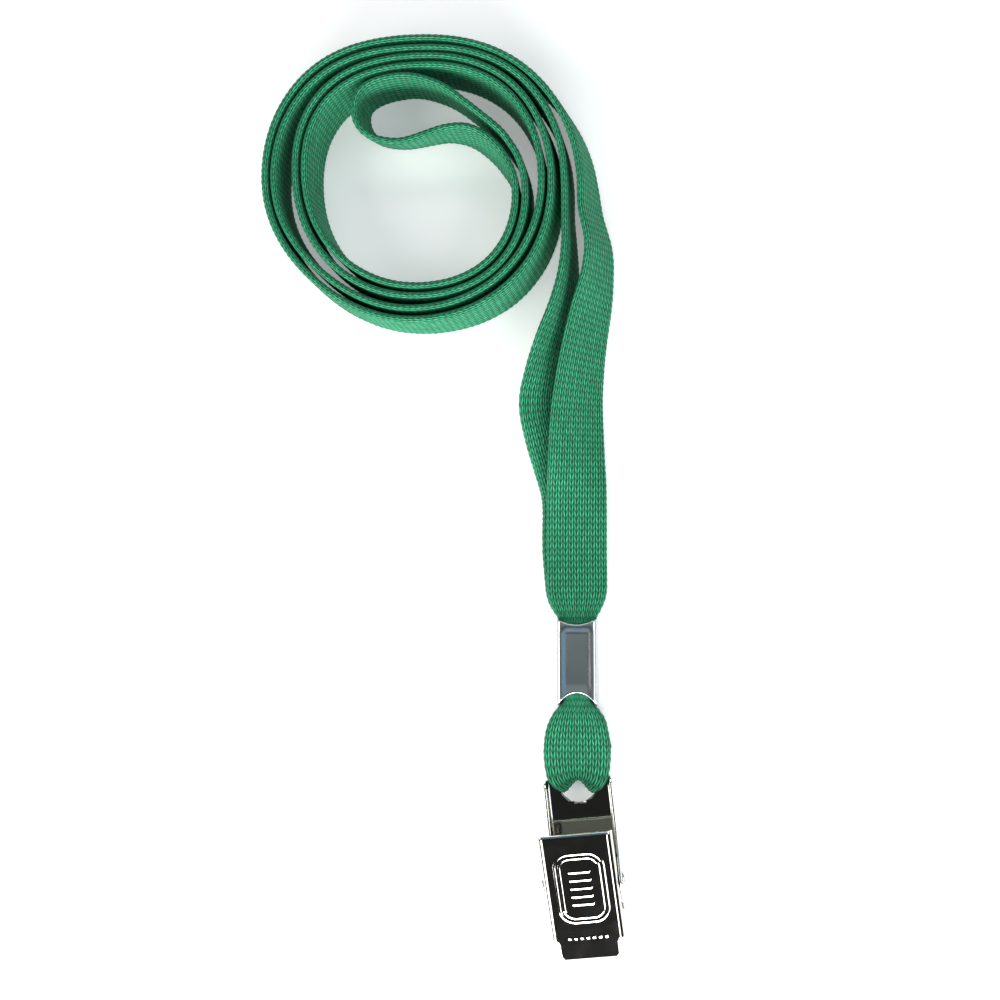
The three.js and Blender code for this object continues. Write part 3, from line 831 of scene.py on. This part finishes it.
@dataclass
class ClipLoop:
    """The short webbing loop from the crimp through the hole of the back plate."""

    webbing: Webbing
    clip: ClipFrame
    crimp_x: float = 21.3
    thick: float = 1.05
    pinched_width: float = 5.1
    pinched_thick: float = 0.9
    bend_y: float = 16.5
    bend_radius: float = 1.1
    hole_y: float = 14.85
    in_crimp: tuple = (
        (-26.1, 3.45), (-30.0, 3.45), (-34.2, 3.45), (-34.2, 1.15), (-29.0, 1.15), (-23.0, 1.15),
    )
    over: tuple = (
        (0, -34.9, 3.5, 6.4), (0, -35.8, 3.55, 7.8), (0, -37, 3.6, 9.0), (-0.03, -38.5, 3.6, 9.9),
        (-0.06, -40.3, 3.5, 10.4),
    )
    over_plate: tuple = ((18.9, 1.55, 10.5, 0.0), (17.85, 1.4, 10.3, 0.3), (16.95, 1.25, 9.9, 0.8))
    through_hole: tuple = (
        (75, 9.2, 1.25), (50, 8.0, 1.7), (25, 6.6, 2.05), (0, 5.4, 2.2), (-25, 5.0, 2.15),
        (-50, 5.2, 1.8), (-75, 6.4, 1.3),
    )
    under_plate: tuple = ((17.4, -1.12, 7.6, 0.8), (18.4, -1.12, 8.8, 0.3))
    under: tuple = (
        (-0.08, -42.2, 0.7, 9.6), (-0.05, -39, 0.7, 9.4), (0, -36.6, 0.8, 8.4), (0, -35.1, 1.0, 6.4),
    )

    def rows(self) -> np.ndarray:
        """Centre, tilt, width, thickness and lag of each given section."""
        pinned = [(self.crimp_x, y, z, 0, self.pinched_width, self.pinched_thick, 0)
                  for y, z in self.in_crimp]
        free = [[(self.crimp_x + dx, y, z, 0, width, self.thick, 0) for dx, y, z, width in part]
                for part in (self.over, self.under)]

        def held(y: float, z: float, width: float, lag: float) -> tuple:
            """One section given in the back plate's own coordinates."""
            aside = (y - self.hole_y) * math.tan(math.radians(self.clip.yaw))
            at = self.clip.back() @ Vector((aside, y, z))
            return (at.x, at.y, at.z, 0, width, self.thick, lag)

        bend = []
        for angle, width, lag in self.through_hole:
            a = math.radians(angle)
            y, z = self.bend_y - self.bend_radius * math.cos(a), self.bend_radius * math.sin(a)
            bend.append(held(y, z, width, lag))
        on_top = [held(*row) for row in self.over_plate]
        below = [held(*row) for row in self.under_plate]
        rows = pinned[:3] + free[0] + on_top + bend + below + free[1] + pinned[3:]
        return np.array(rows, dtype=float)

    def build(self, finish: bpy.types.Material) -> bpy.types.Object:
        """Knits the loop, which runs from the crimp round through the clip's hole."""
        step = self.webbing.course / self.webbing.rows_per_course
        across = Vector((-1, 0, 0))

        def level(along: Vector, tilt: float) -> Vector:
            """Width direction of webbing that stays level across the clip."""
            return (across - along * across.dot(along)).normalized()

        stations = evenly(self.rows(), step, level)
        skin = self.webbing.tube("clip_loop_knit", stations)
        loop = self.webbing.knitted(skin, finish)
        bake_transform(loop)
        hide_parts("clip_loop")
        return loop


# --- pressed metal -------------------------------------------------------


RIM_TILTS = (60, 30, 0, -30, -60)


def thickened(
    name: str, middle: Sequence[Vector], faces: Sequence[tuple], loops: Sequence[Sequence[int]],
    sheet: float, place: Matrix, lip: float = 0.1,
) -> bpy.types.Object:
    """A sheet of even thickness with eased rims, from its middle surface.

    Args:
        name: name of the object.
        middle: points of the middle surface, in the piece's own millimetres.
        faces: its faces.
        loops: each rim as point numbers in order.
        sheet: thickness.
        place: the piece's coordinates to the maker's frame.
        lip: how far the eased rim stands out.

    Returns:
        The closed object, with a rim attribute that is 1 on the rims.
    """
    scratch = bpy.data.meshes.new("scratch")
    scratch.from_pydata([tuple(v) for v in middle], [], faces)
    normals = [Vector(n.vector) for n in scratch.vertex_normals]
    edge_face = {}
    for face in scratch.polygons:
        ring = list(face.vertices)
        for a, b in zip(ring, ring[1:] + ring[:1]):
            edge_face[(a, b)] = Vector(face.center)
    bpy.data.meshes.remove(scratch)
    half = sheet / 2
    count = len(middle)
    points = [v + n * side for side in (half, -half) for v, n in zip(middle, normals)]
    rim = [0.0] * (2 * count)
    solid = [tuple(f) for f in faces] + [tuple(v + count for v in reversed(f)) for f in faces]
    for loop in loops:
        size = len(loop)
        rings = [list(loop)]
        outs = []
        for i, v in enumerate(loop):
            after = loop[(i + 1) % size]
            way = (middle[after] - middle[loop[i - 1]]).normalized()
            out = way.cross(normals[v]).normalized()
            inner = edge_face.get((v, after)) or edge_face.get((after, v))
            outs.append(out if inner is None or out.dot(inner - middle[v]) < 0 else -out)
        for tilt in RIM_TILTS:
            a = math.radians(tilt)
            ring = []
            for v, out in zip(loop, outs):
                ring.append(len(points))
                points.append(middle[v] + out * (lip * math.cos(a)) + normals[v] * (half * math.sin(a)))
                rim.append(1.0)
            rings.append(ring)
        rings.append([v + count for v in loop])
        for upper, lower in zip(rings, rings[1:]):
            for i in range(size):
                j = (i + 1) % size
                solid.append((upper[i], upper[j], lower[j], lower[i]))
        for v in loop:
            rim[v] = rim[v + count] = 0.6
    obj = new_object(name, metres([place @ p for p in points]), solid)
    # The rim values mark where the plating group paints its rim highlight.
    obj.data.attributes.new("rim", "FLOAT", "POINT").data.foreach_set("value", rim)
    outward(obj)
    return obj


def rounded(outline: Sequence[tuple], radius: float, steps: int = 4) -> list[tuple[float, float]]:
    """An outline with each of its corners rounded.

    Args:
        outline: corners in order.
        radius: the largest radius used; a short side takes a smaller one.
        steps: straight steps in each corner.

    Returns:
        The rounded outline.
    """
    points = [Vector(p) for p in outline]
    found = []
    for i, corner in enumerate(points):
        before, after = points[i - 1] - corner, points[(i + 1) % len(points)] - corner
        reach = min(radius, before.length * 0.45, after.length * 0.45)
        first, last = corner + before.normalized() * reach, corner + after.normalized() * reach
        for k in range(steps + 1):
            f = k / steps
            p = first * (1 - f) ** 2 + corner * (2 * f * (1 - f)) + last * f**2
            found.append((p.x, p.y))
    return found


def inside(point: tuple[float, float], outline: Sequence[tuple]) -> bool:
    """Whether a plane point is inside an outline."""
    x, y = point
    odd = False
    for (ax, ay), (bx, by) in zip(outline, list(outline[1:]) + [outline[0]]):
        if (ay > y) != (by > y) and x < (bx - ax) * (y - ay) / (by - ay) + ax:
            odd = not odd
    return odd


@dataclass
class PressedChannel:
    """A plate folded up along both sides, cut from a flat blank and pressed."""

    width: float
    sheet: float = 0.45
    bend: float = 0.9
    rim_gap: float = 0.16

    @property
    def floor_half(self) -> float:
        """Half the width of the flat floor."""
        return self.width / 2 - self.bend

    @property
    def bend_middle(self) -> float:
        """Radius of the fold at the middle of the sheet."""
        return self.bend - self.sheet / 2

    def reach(self, height: float) -> float:
        """Distance out from the blank's centre line of a point at a height on the side wall."""
        r = self.bend_middle
        if height < r:
            return self.floor_half + r * math.acos(1 - height / r)
        return self.floor_half + r * math.pi / 2 + height - r

    def folded(self, s: float, y: float, press: float) -> Vector:
        """Where a point of the blank stands once folded.

        Args:
            s: distance across the blank.
            y: distance along it.
            press: how far the press has pushed it, along the sheet's inner side.

        Returns:
            The point, walls up.
        """
        side, out, r = math.copysign(1, s), abs(s), self.bend_middle
        if out <= self.floor_half:
            return Vector((s, y, press))
        turn = (out - self.floor_half) / r
        if turn <= math.pi / 2:
            return Vector((side * (self.floor_half + r * math.sin(turn)), y, r * (1 - math.cos(turn))))
        return Vector((side * (self.floor_half + r), y, r + out - self.floor_half - r * math.pi / 2))

    def lines(self, zones: Sequence[tuple[float, float, float]]) -> list[float]:
        """Positions of grid lines, from zones of start, end and pitch."""
        found: list[float] = []
        for start, end, pitch in zones:
            steps = max(1, round((end - start) / pitch))
            found += [lerp(start, end, i / steps) for i in range(steps + 1)]
        return sorted(set(round(v, 5) for v in found))

    def filled(
        self, outline: Sequence[tuple], holes: Sequence[Sequence[tuple]],
        columns: Sequence[float], rows: Sequence[float],
    ) -> tuple[list[Vector], list[tuple], list[list[int]]]:
        """Triangles over a blank.

        Args:
            outline: outer edge of the blank.
            holes: edges of its holes.
            columns: grid lines across.
            rows: grid lines along.

        Returns:
            The plane points, the triangles and each edge as point numbers in order.
        """
        edges = [list(outline)] + [list(h) for h in holes]
        rim = np.array([p for e in edges for p in e])
        points = [Vector(p) for p in rim]
        constraints, loops, start = [], [], 0
        for edge in edges:
            loops.append(list(range(start, start + len(edge))))
            constraints += [(loops[-1][i], loops[-1][(i + 1) % len(edge)]) for i in range(len(edge))]
            start += len(edge)
        for x in columns:
            for y in rows:
                near = np.min(np.abs(rim[:, 0] - x) + np.abs(rim[:, 1] - y))
                if near > self.rim_gap and self.covers((x, y), edges):
                    points.append(Vector((x, y)))
        made = geometry.delaunay_2d_cdt(points, constraints, [], 0, 1e-6)
        flat, faces, origins = made[0], made[2], made[3]
        where = {}
        for new, old in enumerate(origins):
            for o in old:
                where[o] = new
        kept = []
        for face in faces:
            cx = sum(flat[v].x for v in face) / 3
            cy = sum(flat[v].y for v in face) / 3
            if self.covers((cx, cy), edges):
                kept.append(tuple(face))
        return flat, kept, [[where[v] for v in loop] for loop in loops]

    def covers(self, point: tuple[float, float], edges: Sequence[Sequence[tuple]]) -> bool:
        """Whether there is metal at a point of the blank."""
        return inside(point, edges[0]) and not any(inside(point, hole) for hole in edges[1:])


@dataclass
class BackPlate(PressedChannel):
    """The lower plate: a tongue with the webbing's hole, side walls up to the pin, and the lower jaw."""

    width: float = 10.7
    top: float = 19.35
    jaw: float = -11.7
    jaw_half: float = 3.7
    jaw_lift: float = 0.12
    tongue: float = 5.0
    hole_radius: float = 3.15
    hole_y: float = 14.85
    pin_height: float = 2.7
    pin_hole: float = 0.75
    wall: tuple = (
        (14.5, 1.75), (9.0, 2.2), (5.0, 2.7), (2.0, 3.6), (1.0, 3.8), (-0.6, 3.75), (-1.6, 3.3),
        (-3.0, 2.5), (-4.2, 1.9),
    )

    def outline(self) -> list[tuple[float, float]]:
        """Outer edge of the blank, round from the tongue."""
        right = [(self.reach(h), y) for y, h in self.wall]
        right += [(self.reach(0.6), -5.0), (self.jaw_half, -5.6), (self.jaw_half, self.jaw)]
        shoulder = [(self.reach(0.3), self.hole_y + 0.55), (self.reach(1.2), self.hole_y + 0.35)]
        side = rounded(shoulder + right + [(-x, y) for x, y in (shoulder + right)[::-1]], 0.6)
        crown = arc(0, self.top - self.tongue, self.tongue, 165, 15, 20)
        return side + crown

    def build(self, place: Matrix) -> bpy.types.Object:
        """The plate, folded and placed."""
        hole = arc(0, self.hole_y, self.hole_radius, 0, 360, 48)[:-1]
        pin_out = self.reach(self.pin_height)
        eyes = [arc(side * pin_out, 0, self.pin_hole, 0, 360, 20)[:-1] for side in (-1, 1)]
        f, wall_end = self.floor_half, self.reach(3.9)
        fold_end = f + self.bend_middle * math.pi / 2
        columns = self.lines([(0, f, 0.5), (f, fold_end, 0.13), (fold_end, wall_end, 0.5)])
        columns = [-c for c in columns] + columns
        rows = self.lines([(self.jaw, self.top, 0.5)])
        flat, faces, loops = self.filled(self.outline(), [hole] + eyes, sorted(set(columns)), rows)
        middle = [self.folded(p.x, p.y, self.press(p.x, p.y)) for p in flat]
        return thickened("clip_plate", middle, faces, loops, self.sheet, place)

    def press(self, x: float, y: float) -> float:
        """How far the jaw's edge is turned up at a point."""
        return self.jaw_lift * ease((self.jaw + 1.4 - y) / 1.2)


@dataclass
class Lever(PressedChannel):
    """The upper plate: thumb end, walls down to the pin, the pressed face and the gripping lip."""

    width: float = 11.5
    top: float = 8.7
    shoulder: float = -9.0
    lip: float = -12.1
    lip_half: float = 4.6
    rise: float = 1.56
    pin_hole: float = 0.75
    ridge: float = 0.038
    wall: tuple = (
        (8.4, 1.0), (7.5, 1.45), (4.0, 2.15), (1.3, 2.75), (-1.3, 2.75), (-5.0, 1.7), (-8.6, 1.2),
        (-9.2, 0.75),
    )
    frames: tuple = ((3.75, 5.7, 2.3), (3.05, 5.0, 1.7))
    frame_y: float = -0.1
    ribs: tuple = (2.6, 1.25, -0.1, -1.45, -2.8)
    beads: int = 7
    bead_y: float = -8.5
    bead_pitch: float = 0.95
    fine: float = 0.12

    def outline(self) -> list[tuple[float, float]]:
        """Outer edge of the blank."""
        right = [(self.reach(0.1), self.top)] + [(self.reach(h), y) for y, h in self.wall]
        right += [(self.lip_half + 0.25, self.shoulder - 0.1), (self.lip_half, self.shoulder - 0.75)]
        right += [(self.lip_half - 0.05, self.lip)]
        return rounded(right + [(-x, y) for x, y in right[::-1]], 0.16)

    def frame_distance(self, x: float, y: float, half_x: float, half_y: float, corner: float) -> float:
        """Distance of a face point from a rounded rectangle's line."""
        qx = abs(x) - (half_x - corner)
        qy = abs(y - self.frame_y) - (half_y - corner)
        out = math.hypot(max(qx, 0), max(qy, 0)) + min(max(qx, qy), 0) - corner
        return abs(out)

    def press(self, x: float, y: float) -> float:
        """How far the die raises the face at a point: two frames, five bars and a row of beads."""
        near = min(self.frame_distance(x, y, *frame_size) for frame_size in self.frames)
        raised = math.exp(-((near / 0.14) ** 2))
        for rib_y in self.ribs:
            reach = max(abs(x) - 1.5, 0.0)
            gap = math.hypot(reach, y - rib_y)
            raised = max(raised, math.exp(-((gap / 0.16) ** 2)))
        for i in range(self.beads):
            gap = math.hypot(x - (i - (self.beads - 1) / 2) * self.bead_pitch, y - self.bead_y)
            raised = max(raised, math.exp(-((gap / 0.2) ** 2)))
        return -raised * self.ridge

    def build(self, place: Matrix) -> bpy.types.Object:
        """The lever, folded with its walls down and placed."""
        pin_out = self.reach(self.rise)
        eyes = [arc(side * pin_out, 0, self.pin_hole, 0, 360, 20)[:-1] for side in (-1, 1)]
        f, wall_end = self.floor_half, self.reach(2.9)
        fold_end = f + self.bend_middle * math.pi / 2
        face_x, face_low, face_high = 4.1, self.bead_y - 0.5, self.frame_y + 6.1
        zones = [
            (0, face_x, self.fine), (face_x, f, 0.25), (f, fold_end, self.fine), (fold_end, wall_end, 0.5),
        ]
        columns = self.lines(zones)
        columns = sorted(set([-c for c in columns] + columns))
        zones = [
            (self.lip, face_low, 0.4), (face_low, face_high, self.fine), (face_high, self.top, 0.4),
        ]
        rows = self.lines(zones)
        flat, faces, loops = self.filled(self.outline(), eyes, columns, rows)
        middle = [self.folded(p.x, p.y, self.press(p.x, p.y)) for p in flat]
        over = Matrix.Translation((0, 0, self.rise)) @ Matrix.Diagonal((1, 1, -1, 1))
        return thickened("lever_plate", [over @ p for p in middle], faces, loops, self.sheet, place)


@dataclass
class Rivet:
    """The pivot pin with a domed head closed over each side wall."""

    radius: float = 0.65
    head: float = 1.1
    head_thick: float = 0.5
    head_edge: float = 0.06
    ends: tuple = (-6.4, 5.85)
    sides: int = 40

    def profile(self) -> list[tuple[float, float]]:
        """Radius and place along the pin, from one end to the other."""
        low, high = self.ends
        dome = [(self.head * math.sin(a), self.head_thick * math.cos(a)) for a in
                (math.radians(d) for d in (4, 16, 30, 45, 60, 74, 86))]
        ends = []
        for at, way in ((low, 1), (high, -1)):
            under = at + way * self.head_edge
            head = [(r, at - way * d) for r, d in dome]
            ends.append(head + [(self.head, at), (self.head * 0.93, under), (self.radius, under)])
        return ends[0] + ends[1][::-1]

    def build(self, place: Matrix, height: float) -> bpy.types.Object:
        """The pin, turned about its axis."""
        profile = self.profile()
        points, faces = [], []
        for r, x in profile:
            for k in range(self.sides):
                a = 2 * math.pi * k / self.sides
                points.append(Vector((x, r * math.cos(a), height + r * math.sin(a))))
        for i in range(len(profile) - 1):
            for k in range(self.sides):
                j = (k + 1) % self.sides
                corners = ((i, k), (i, j), (i + 1, j), (i + 1, k))
                faces.append(tuple(row * self.sides + c for row, c in corners))
        end = (len(profile) - 1) * self.sides
        faces.append(tuple(range(self.sides)))
        faces.append(tuple(end + k for k in range(self.sides)))
        obj = new_object("rivet_pin", metres([place @ p for p in points]), faces)
        # The rim values on the head's edge mark where the plating group paints its rim highlight.
        rim = [0.8 if r > self.head * 0.9 else 0.0 for r, _ in profile for _ in range(self.sides)]
        obj.data.attributes.new("rim", "FLOAT", "POINT").data.foreach_set("value", rim)
        outward(obj)
        return obj


@dataclass
class TorsionSpring:
    """Round wire wound about the pin, one leg on each plate."""

    wire: float = 0.24
    radius: float = 1.06
    turns: float = 6.0
    half: float = 2.1
    lower_leg: tuple = ((5.6, 0.62), (4.4, 0.78), (3.2, 0.95))
    upper_leg: tuple = ((3.0, 4.3), (4.5, 4.78), (6.0, 5.25))
    sides: int = 10

    def path(self, height: float) -> list[Vector]:
        """Points of the wire's middle, leg, coil and leg."""
        points = [Vector((-self.half, y, z)) for y, z in self.lower_leg]
        steps = int(self.turns * 24)
        for i in range(steps + 1):
            a = math.radians(-110 + i * 360 * (self.turns + 0.5) / steps)
            x = -self.half + 2 * self.half * i / steps
            points.append(Vector((x, self.radius * math.cos(a), height + self.radius * math.sin(a))))
        return points + [Vector((self.half, y, z)) for y, z in self.upper_leg]

    def tree(self) -> bpy.types.NodeTree:
        """Nodes that draw round wire along a line of points."""
        tree = bpy.data.node_groups.new("drawn_wire", "GeometryNodeTree")
        tree.interface.new_socket("Line", in_out="INPUT", socket_type="NodeSocketGeometry")
        tree.interface.new_socket("Radius", in_out="INPUT", socket_type="NodeSocketFloat")
        tree.interface.new_socket("Sides", in_out="INPUT", socket_type="NodeSocketInt")
        tree.interface.new_socket("Finish", in_out="INPUT", socket_type="NodeSocketMaterial")
        tree.interface.new_socket("Wire", in_out="OUTPUT", socket_type="NodeSocketGeometry")
        g = Graph(tree)
        start, end = g.add("NodeGroupInput"), g.add("NodeGroupOutput")
        curve, ring = g.add("GeometryNodeMeshToCurve"), g.add("GeometryNodeCurvePrimitiveCircle")
        g.put(start.outputs["Line"], curve.inputs["Mesh"])
        g.put(start.outputs["Radius"], ring.inputs["Radius"])
        g.put(start.outputs["Sides"], ring.inputs["Resolution"])
        sweep = g.add("GeometryNodeCurveToMesh")
        g.put(curve.outputs[0], sweep.inputs["Curve"])
        g.put(ring.outputs["Curve"], sweep.inputs["Profile Curve"])
        sweep.inputs["Fill Caps"].default_value = True
        real, dress = g.add("GeometryNodeRealizeInstances"), g.add("GeometryNodeSetMaterial")
        g.put(sweep.outputs[0], real.inputs[0])
        g.put(real.outputs[0], dress.inputs["Geometry"])
        g.put(start.outputs["Finish"], dress.inputs["Material"])
        g.put(dress.outputs[0], end.inputs[0])
        return tree

    def build(self, place: Matrix, height: float, finish: bpy.types.Material) -> bpy.types.Object:
        """The spring as a closed mesh."""
        mesh = bpy.data.meshes.new("clip_spring")
        path = metres([place @ p for p in self.path(height)])
        mesh.from_pydata([tuple(p) for p in path], [(i, i + 1) for i in range(len(path) - 1)], [])
        line = bpy.data.objects.new("clip_spring", mesh)
        bpy.context.scene.collection.objects.link(line)
        values = {"Radius": self.wire * MM, "Sides": self.sides, "Finish": finish}
        spring = made_real(line, self.tree(), values)
        work = bmesh.new()
        work.from_mesh(spring.data)
        bmesh.ops.remove_doubles(work, verts=work.verts, dist=1e-7)
        work.to_mesh(spring.data)
        work.free()
        outward(spring)
        return spring


@dataclass
class BadgeClip:
    """The sprung clip: back plate, lever, rivet and torsion spring."""

    clip: ClipFrame
    plate: BackPlate = field(default_factory=BackPlate)
    lever: Lever = field(default_factory=Lever)
    rivet: Rivet = field(default_factory=Rivet)
    spring: TorsionSpring = field(default_factory=TorsionSpring)

    def build(self, sheet: bpy.types.Material, wire: bpy.types.Material) -> None:
        """Makes the clip's pieces and sets the plate, lever and rivet each on its body; the spring stays
        unattached.
        """
        height = self.clip.pin_height
        parts = (
            (self.plate.build(self.clip.back()), "clip", "clip_back_plate"),
            (self.lever.build(self.clip.lever()), "lever", "clip_lever"),
            (self.rivet.build(self.clip.plate(), height), "clip", "pivot_pin"),
        )
        for piece, body, node in parts:
            piece.data.materials.append(sheet)
            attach(piece, body)
            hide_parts(node)
            log.info("%s: %d faces", piece.name, len(piece.data.polygons))
        spring = self.spring.build(self.clip.plate(), height, wire)
        low, high = metres([self.clip.plate() @ Vector((0, 0, z)) for z in (1.7, 4.2)])
        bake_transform(spring)
        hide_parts("torsion_spring")
        log.info("%s: %d faces", spring.name, len(spring.data.polygons))


# --- crimp ---------------------------------------------------------------


@dataclass
class CrimpShell:
    """The metal band pressed round the webbing, dished on top, its seam underneath."""

    centre: tuple = (21.3, -27.8)
    length: float = 13.2
    width: float = 6.4
    height: float = 4.5
    wall: float = 0.5
    corner: float = 0.85
    seam: float = 0.35
    arch: float = 2.0
    smile: float = 0.85
    dish: float = 0.24
    rows: int = 56

    def ring(self) -> list[Vector]:
        """Middle line of the band's section, round from one side of the seam to the other."""
        inset = self.wall / 2
        w, h, r = self.width / 2 - inset, self.height / 2 - inset, self.corner - inset
        points = [(self.seam / 2 + (w - r - self.seam / 2) * i / 4, -h) for i in range(4)]
        points += arc(w - r, -h + r, r, -90, 0, 10)
        points += [(w, lerp(-h + r, h - r, i / 3)) for i in (1, 2)]
        points += arc(w - r, h - r, r, 0, 90, 12)
        points += [(lerp(w - r, -w + r, i / 26), h) for i in range(1, 26)]
        points += arc(-w + r, h - r, r, 90, 180, 12)
        points += [(-w, lerp(h - r, -h + r, i / 3)) for i in (1, 2)]
        points += arc(-w + r, -h + r, r, 180, 270, 10)
        points += [(-self.seam / 2 - (w - r - self.seam / 2) * (1 - i / 4), -h) for i in range(1, 5)]
        return [Vector((x, 0, z)) for x, z in points]

    def ends(self, p: Vector) -> tuple[float, float]:
        """Where the band begins and stops along its length at a point of its section."""
        low, high = -self.length / 2, self.length / 2
        top = ease((p.z - 0.6) / 1.0)
        bow = clamp(1 - (p.x / 3.05) ** 2)
        low += top * self.arch * bow**0.8
        high -= top * self.smile * bow
        return low, high

    def dished(self, x: float, y: float, z: float) -> float:
        """Height of the band once its top is pressed in."""
        if z < 1.2:
            return z
        low, high = -self.length / 2 + 0.4, self.length / 2 - 1.0
        across = ease((2.8 - abs(x)) / 1.35)
        ends = ease((high - y) / 1.1) * lerp(0.45, 1.0, ease((y - low) / 3.0))
        return z - self.dish * across * ends

    def build(self, finish: bpy.types.Material) -> bpy.types.Object:
        """The band, dressed and set on the strap's body."""
        ring = self.ring()
        middle = []
        for j in range(self.rows + 1):
            share = j / self.rows
            for p in ring:
                low, high = self.ends(p)
                y = lerp(low, high, share)
                middle.append(Vector((p.x, y, self.dished(p.x, y, p.z))))
        n = len(ring)
        faces = [(j * n + i, j * n + i + 1, (j + 1) * n + i + 1, (j + 1) * n + i)
                 for j in range(self.rows) for i in range(n - 1)]
        loop = list(range(n)) + [j * n + n - 1 for j in range(1, self.rows + 1)]
        loop += [self.rows * n + i for i in range(n - 2, -1, -1)]
        loop += [j * n for j in range(self.rows - 1, 0, -1)]
        place = Matrix.Translation((self.centre[0], self.centre[1], self.height / 2 + 0.02))
        shell = thickened("crimp_shell", middle, faces, [loop], self.wall, place, 0.14)
        shell.data.materials.append(finish)
        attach(shell, "strap")
        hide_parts("crimp_ferrule")
        log.info("%s: %d faces", shell.name, len(shell.data.polygons))
        return shell


# --- room ----------------------------------------------------------------


@dataclass(frozen=True)
class SoftBox:
    """One soft light: where it stands, how large it is and how strong."""

    name: str
    azimuth: float
    elevation: float
    distance: float
    size: tuple
    power: float
    colour: tuple = (1.0, 1.0, 1.0)

    def build(self, target: Vector) -> bpy.types.Object:
        """The light, turned towards the target."""
        lamp = bpy.data.lights.new(self.name, "AREA")
        lamp.shape = "RECTANGLE"
        lamp.size, lamp.size_y = self.size
        lamp.energy = self.power
        lamp.color = self.colour
        a, e = math.radians(self.azimuth), math.radians(self.elevation)
        back = Vector((math.sin(a) * math.cos(e), -math.cos(a) * math.cos(e), math.sin(e)))
        light = bpy.data.objects.new(self.name, lamp)
        light.location = target + back * self.distance
        light.rotation_mode = "QUATERNION"
        light.rotation_quaternion = back.to_track_quat("Z", "Y")
        bpy.context.scene.collection.objects.link(light)
        return light


@dataclass
class Studio:
    """Pale table, soft boxes and the camera."""

    eye: tuple = (0.03894, -0.02334, 0.223)
    aim: tuple = (0.00894, -0.00154, 0.0)
    lens: float = 50.4
    boxes: tuple = (
        SoftBox("front_box", 0, 22, 0.62, (0.8, 0.19), 8.0, (1.0, 0.99, 0.975)),
        SoftBox("left_box", -78, 36, 0.6, (0.5, 0.3), 2.0, (1.0, 0.985, 0.96)),
        SoftBox("right_box", 80, 36, 0.6, (0.5, 0.3), 1.5, (0.95, 0.98, 1.0)),
        SoftBox("back_box", 180, 42, 0.65, (0.6, 0.3), 1.4),
        SoftBox("top_card", 180, 80, 0.6, (0.4, 0.3), 0.11, (0.86, 1.0, 0.98)),
        SoftBox("left_strip", -23, 37, 0.6, (0.13, 0.12), 0.25),
        SoftBox("right_strip", 20, 37, 0.6, (0.13, 0.12), 0.25),
        SoftBox("cool_card", 88, 62, 0.6, (0.5, 0.24), 0.15, (0.28, 0.66, 1.0)),
        SoftBox("cool_strip", 0, 62, 0.6, (0.5, 0.12), 0.06, (0.28, 0.66, 1.0)),
    )

    def camera(self) -> bpy.types.Object:
        """The camera above the table, level with the strap's length."""
        lens = bpy.data.cameras.new("camera")
        lens.lens = self.lens
        lens.clip_start = 0.01
        camera = bpy.data.objects.new("camera", lens)
        eye, aim = Vector(self.eye), Vector(self.aim)
        back = (eye - aim).normalized()
        right = Vector((0, 1, 0)).cross(back).normalized()
        up = back.cross(right)
        turn = Matrix((right, up, back)).transposed().to_4x4()
        camera.matrix_world = Matrix.Translation(eye) @ turn
        bpy.context.scene.collection.objects.link(camera)
        bpy.context.scene.camera = camera
        return camera

    def table(self) -> bpy.types.Object:
        """The pale table under everything."""
        half = 1.5
        drop = -0.00003
        corners = [(-half, -half, drop), (half, -half, drop), (half, half, drop), (-half, half, drop)]
        table = new_object("table_top", corners, [(0, 1, 2, 3)])
        table.data.materials.append(PaperFinish().material())
        return table

    def build(self) -> None:
        """Camera, table, lights and a dim surround."""
        self.camera()
        self.table()
        for box in self.boxes:
            box.build(Vector((0.005, 0.0, 0.0)))
        world = bpy.data.worlds.new("surround")
        world.use_nodes = True
        world.node_tree.nodes["Background"].inputs["Color"].default_value = (0.02, 0.021, 0.02, 1.0)
        bpy.context.scene.world = world
        bpy.context.scene.view_settings.view_transform = "Standard"
        log.info("studio: %d soft boxes", len(self.boxes))


def main() -> None:
    """Builds the lanyard in order and reports the crimp and the clip's pieces."""
    logging.basicConfig(level=logging.INFO, format="%(name)s: %(message)s")
    Studio().build()
    knit = KnitFinish().material()
    mirror, satin, wire = (finish.material() for finish in (MIRROR_PLATE, SATIN_PLATE, DRAWN_WIRE))
    webbing = Webbing()
    clip = ClipFrame()
    NeckStrap(webbing).build(knit)
    ClipLoop(webbing, clip).build(knit)
    CrimpShell().build(satin)
    BadgeClip(clip).build(mirror, wire)


if __name__ == "__main__":
    main()
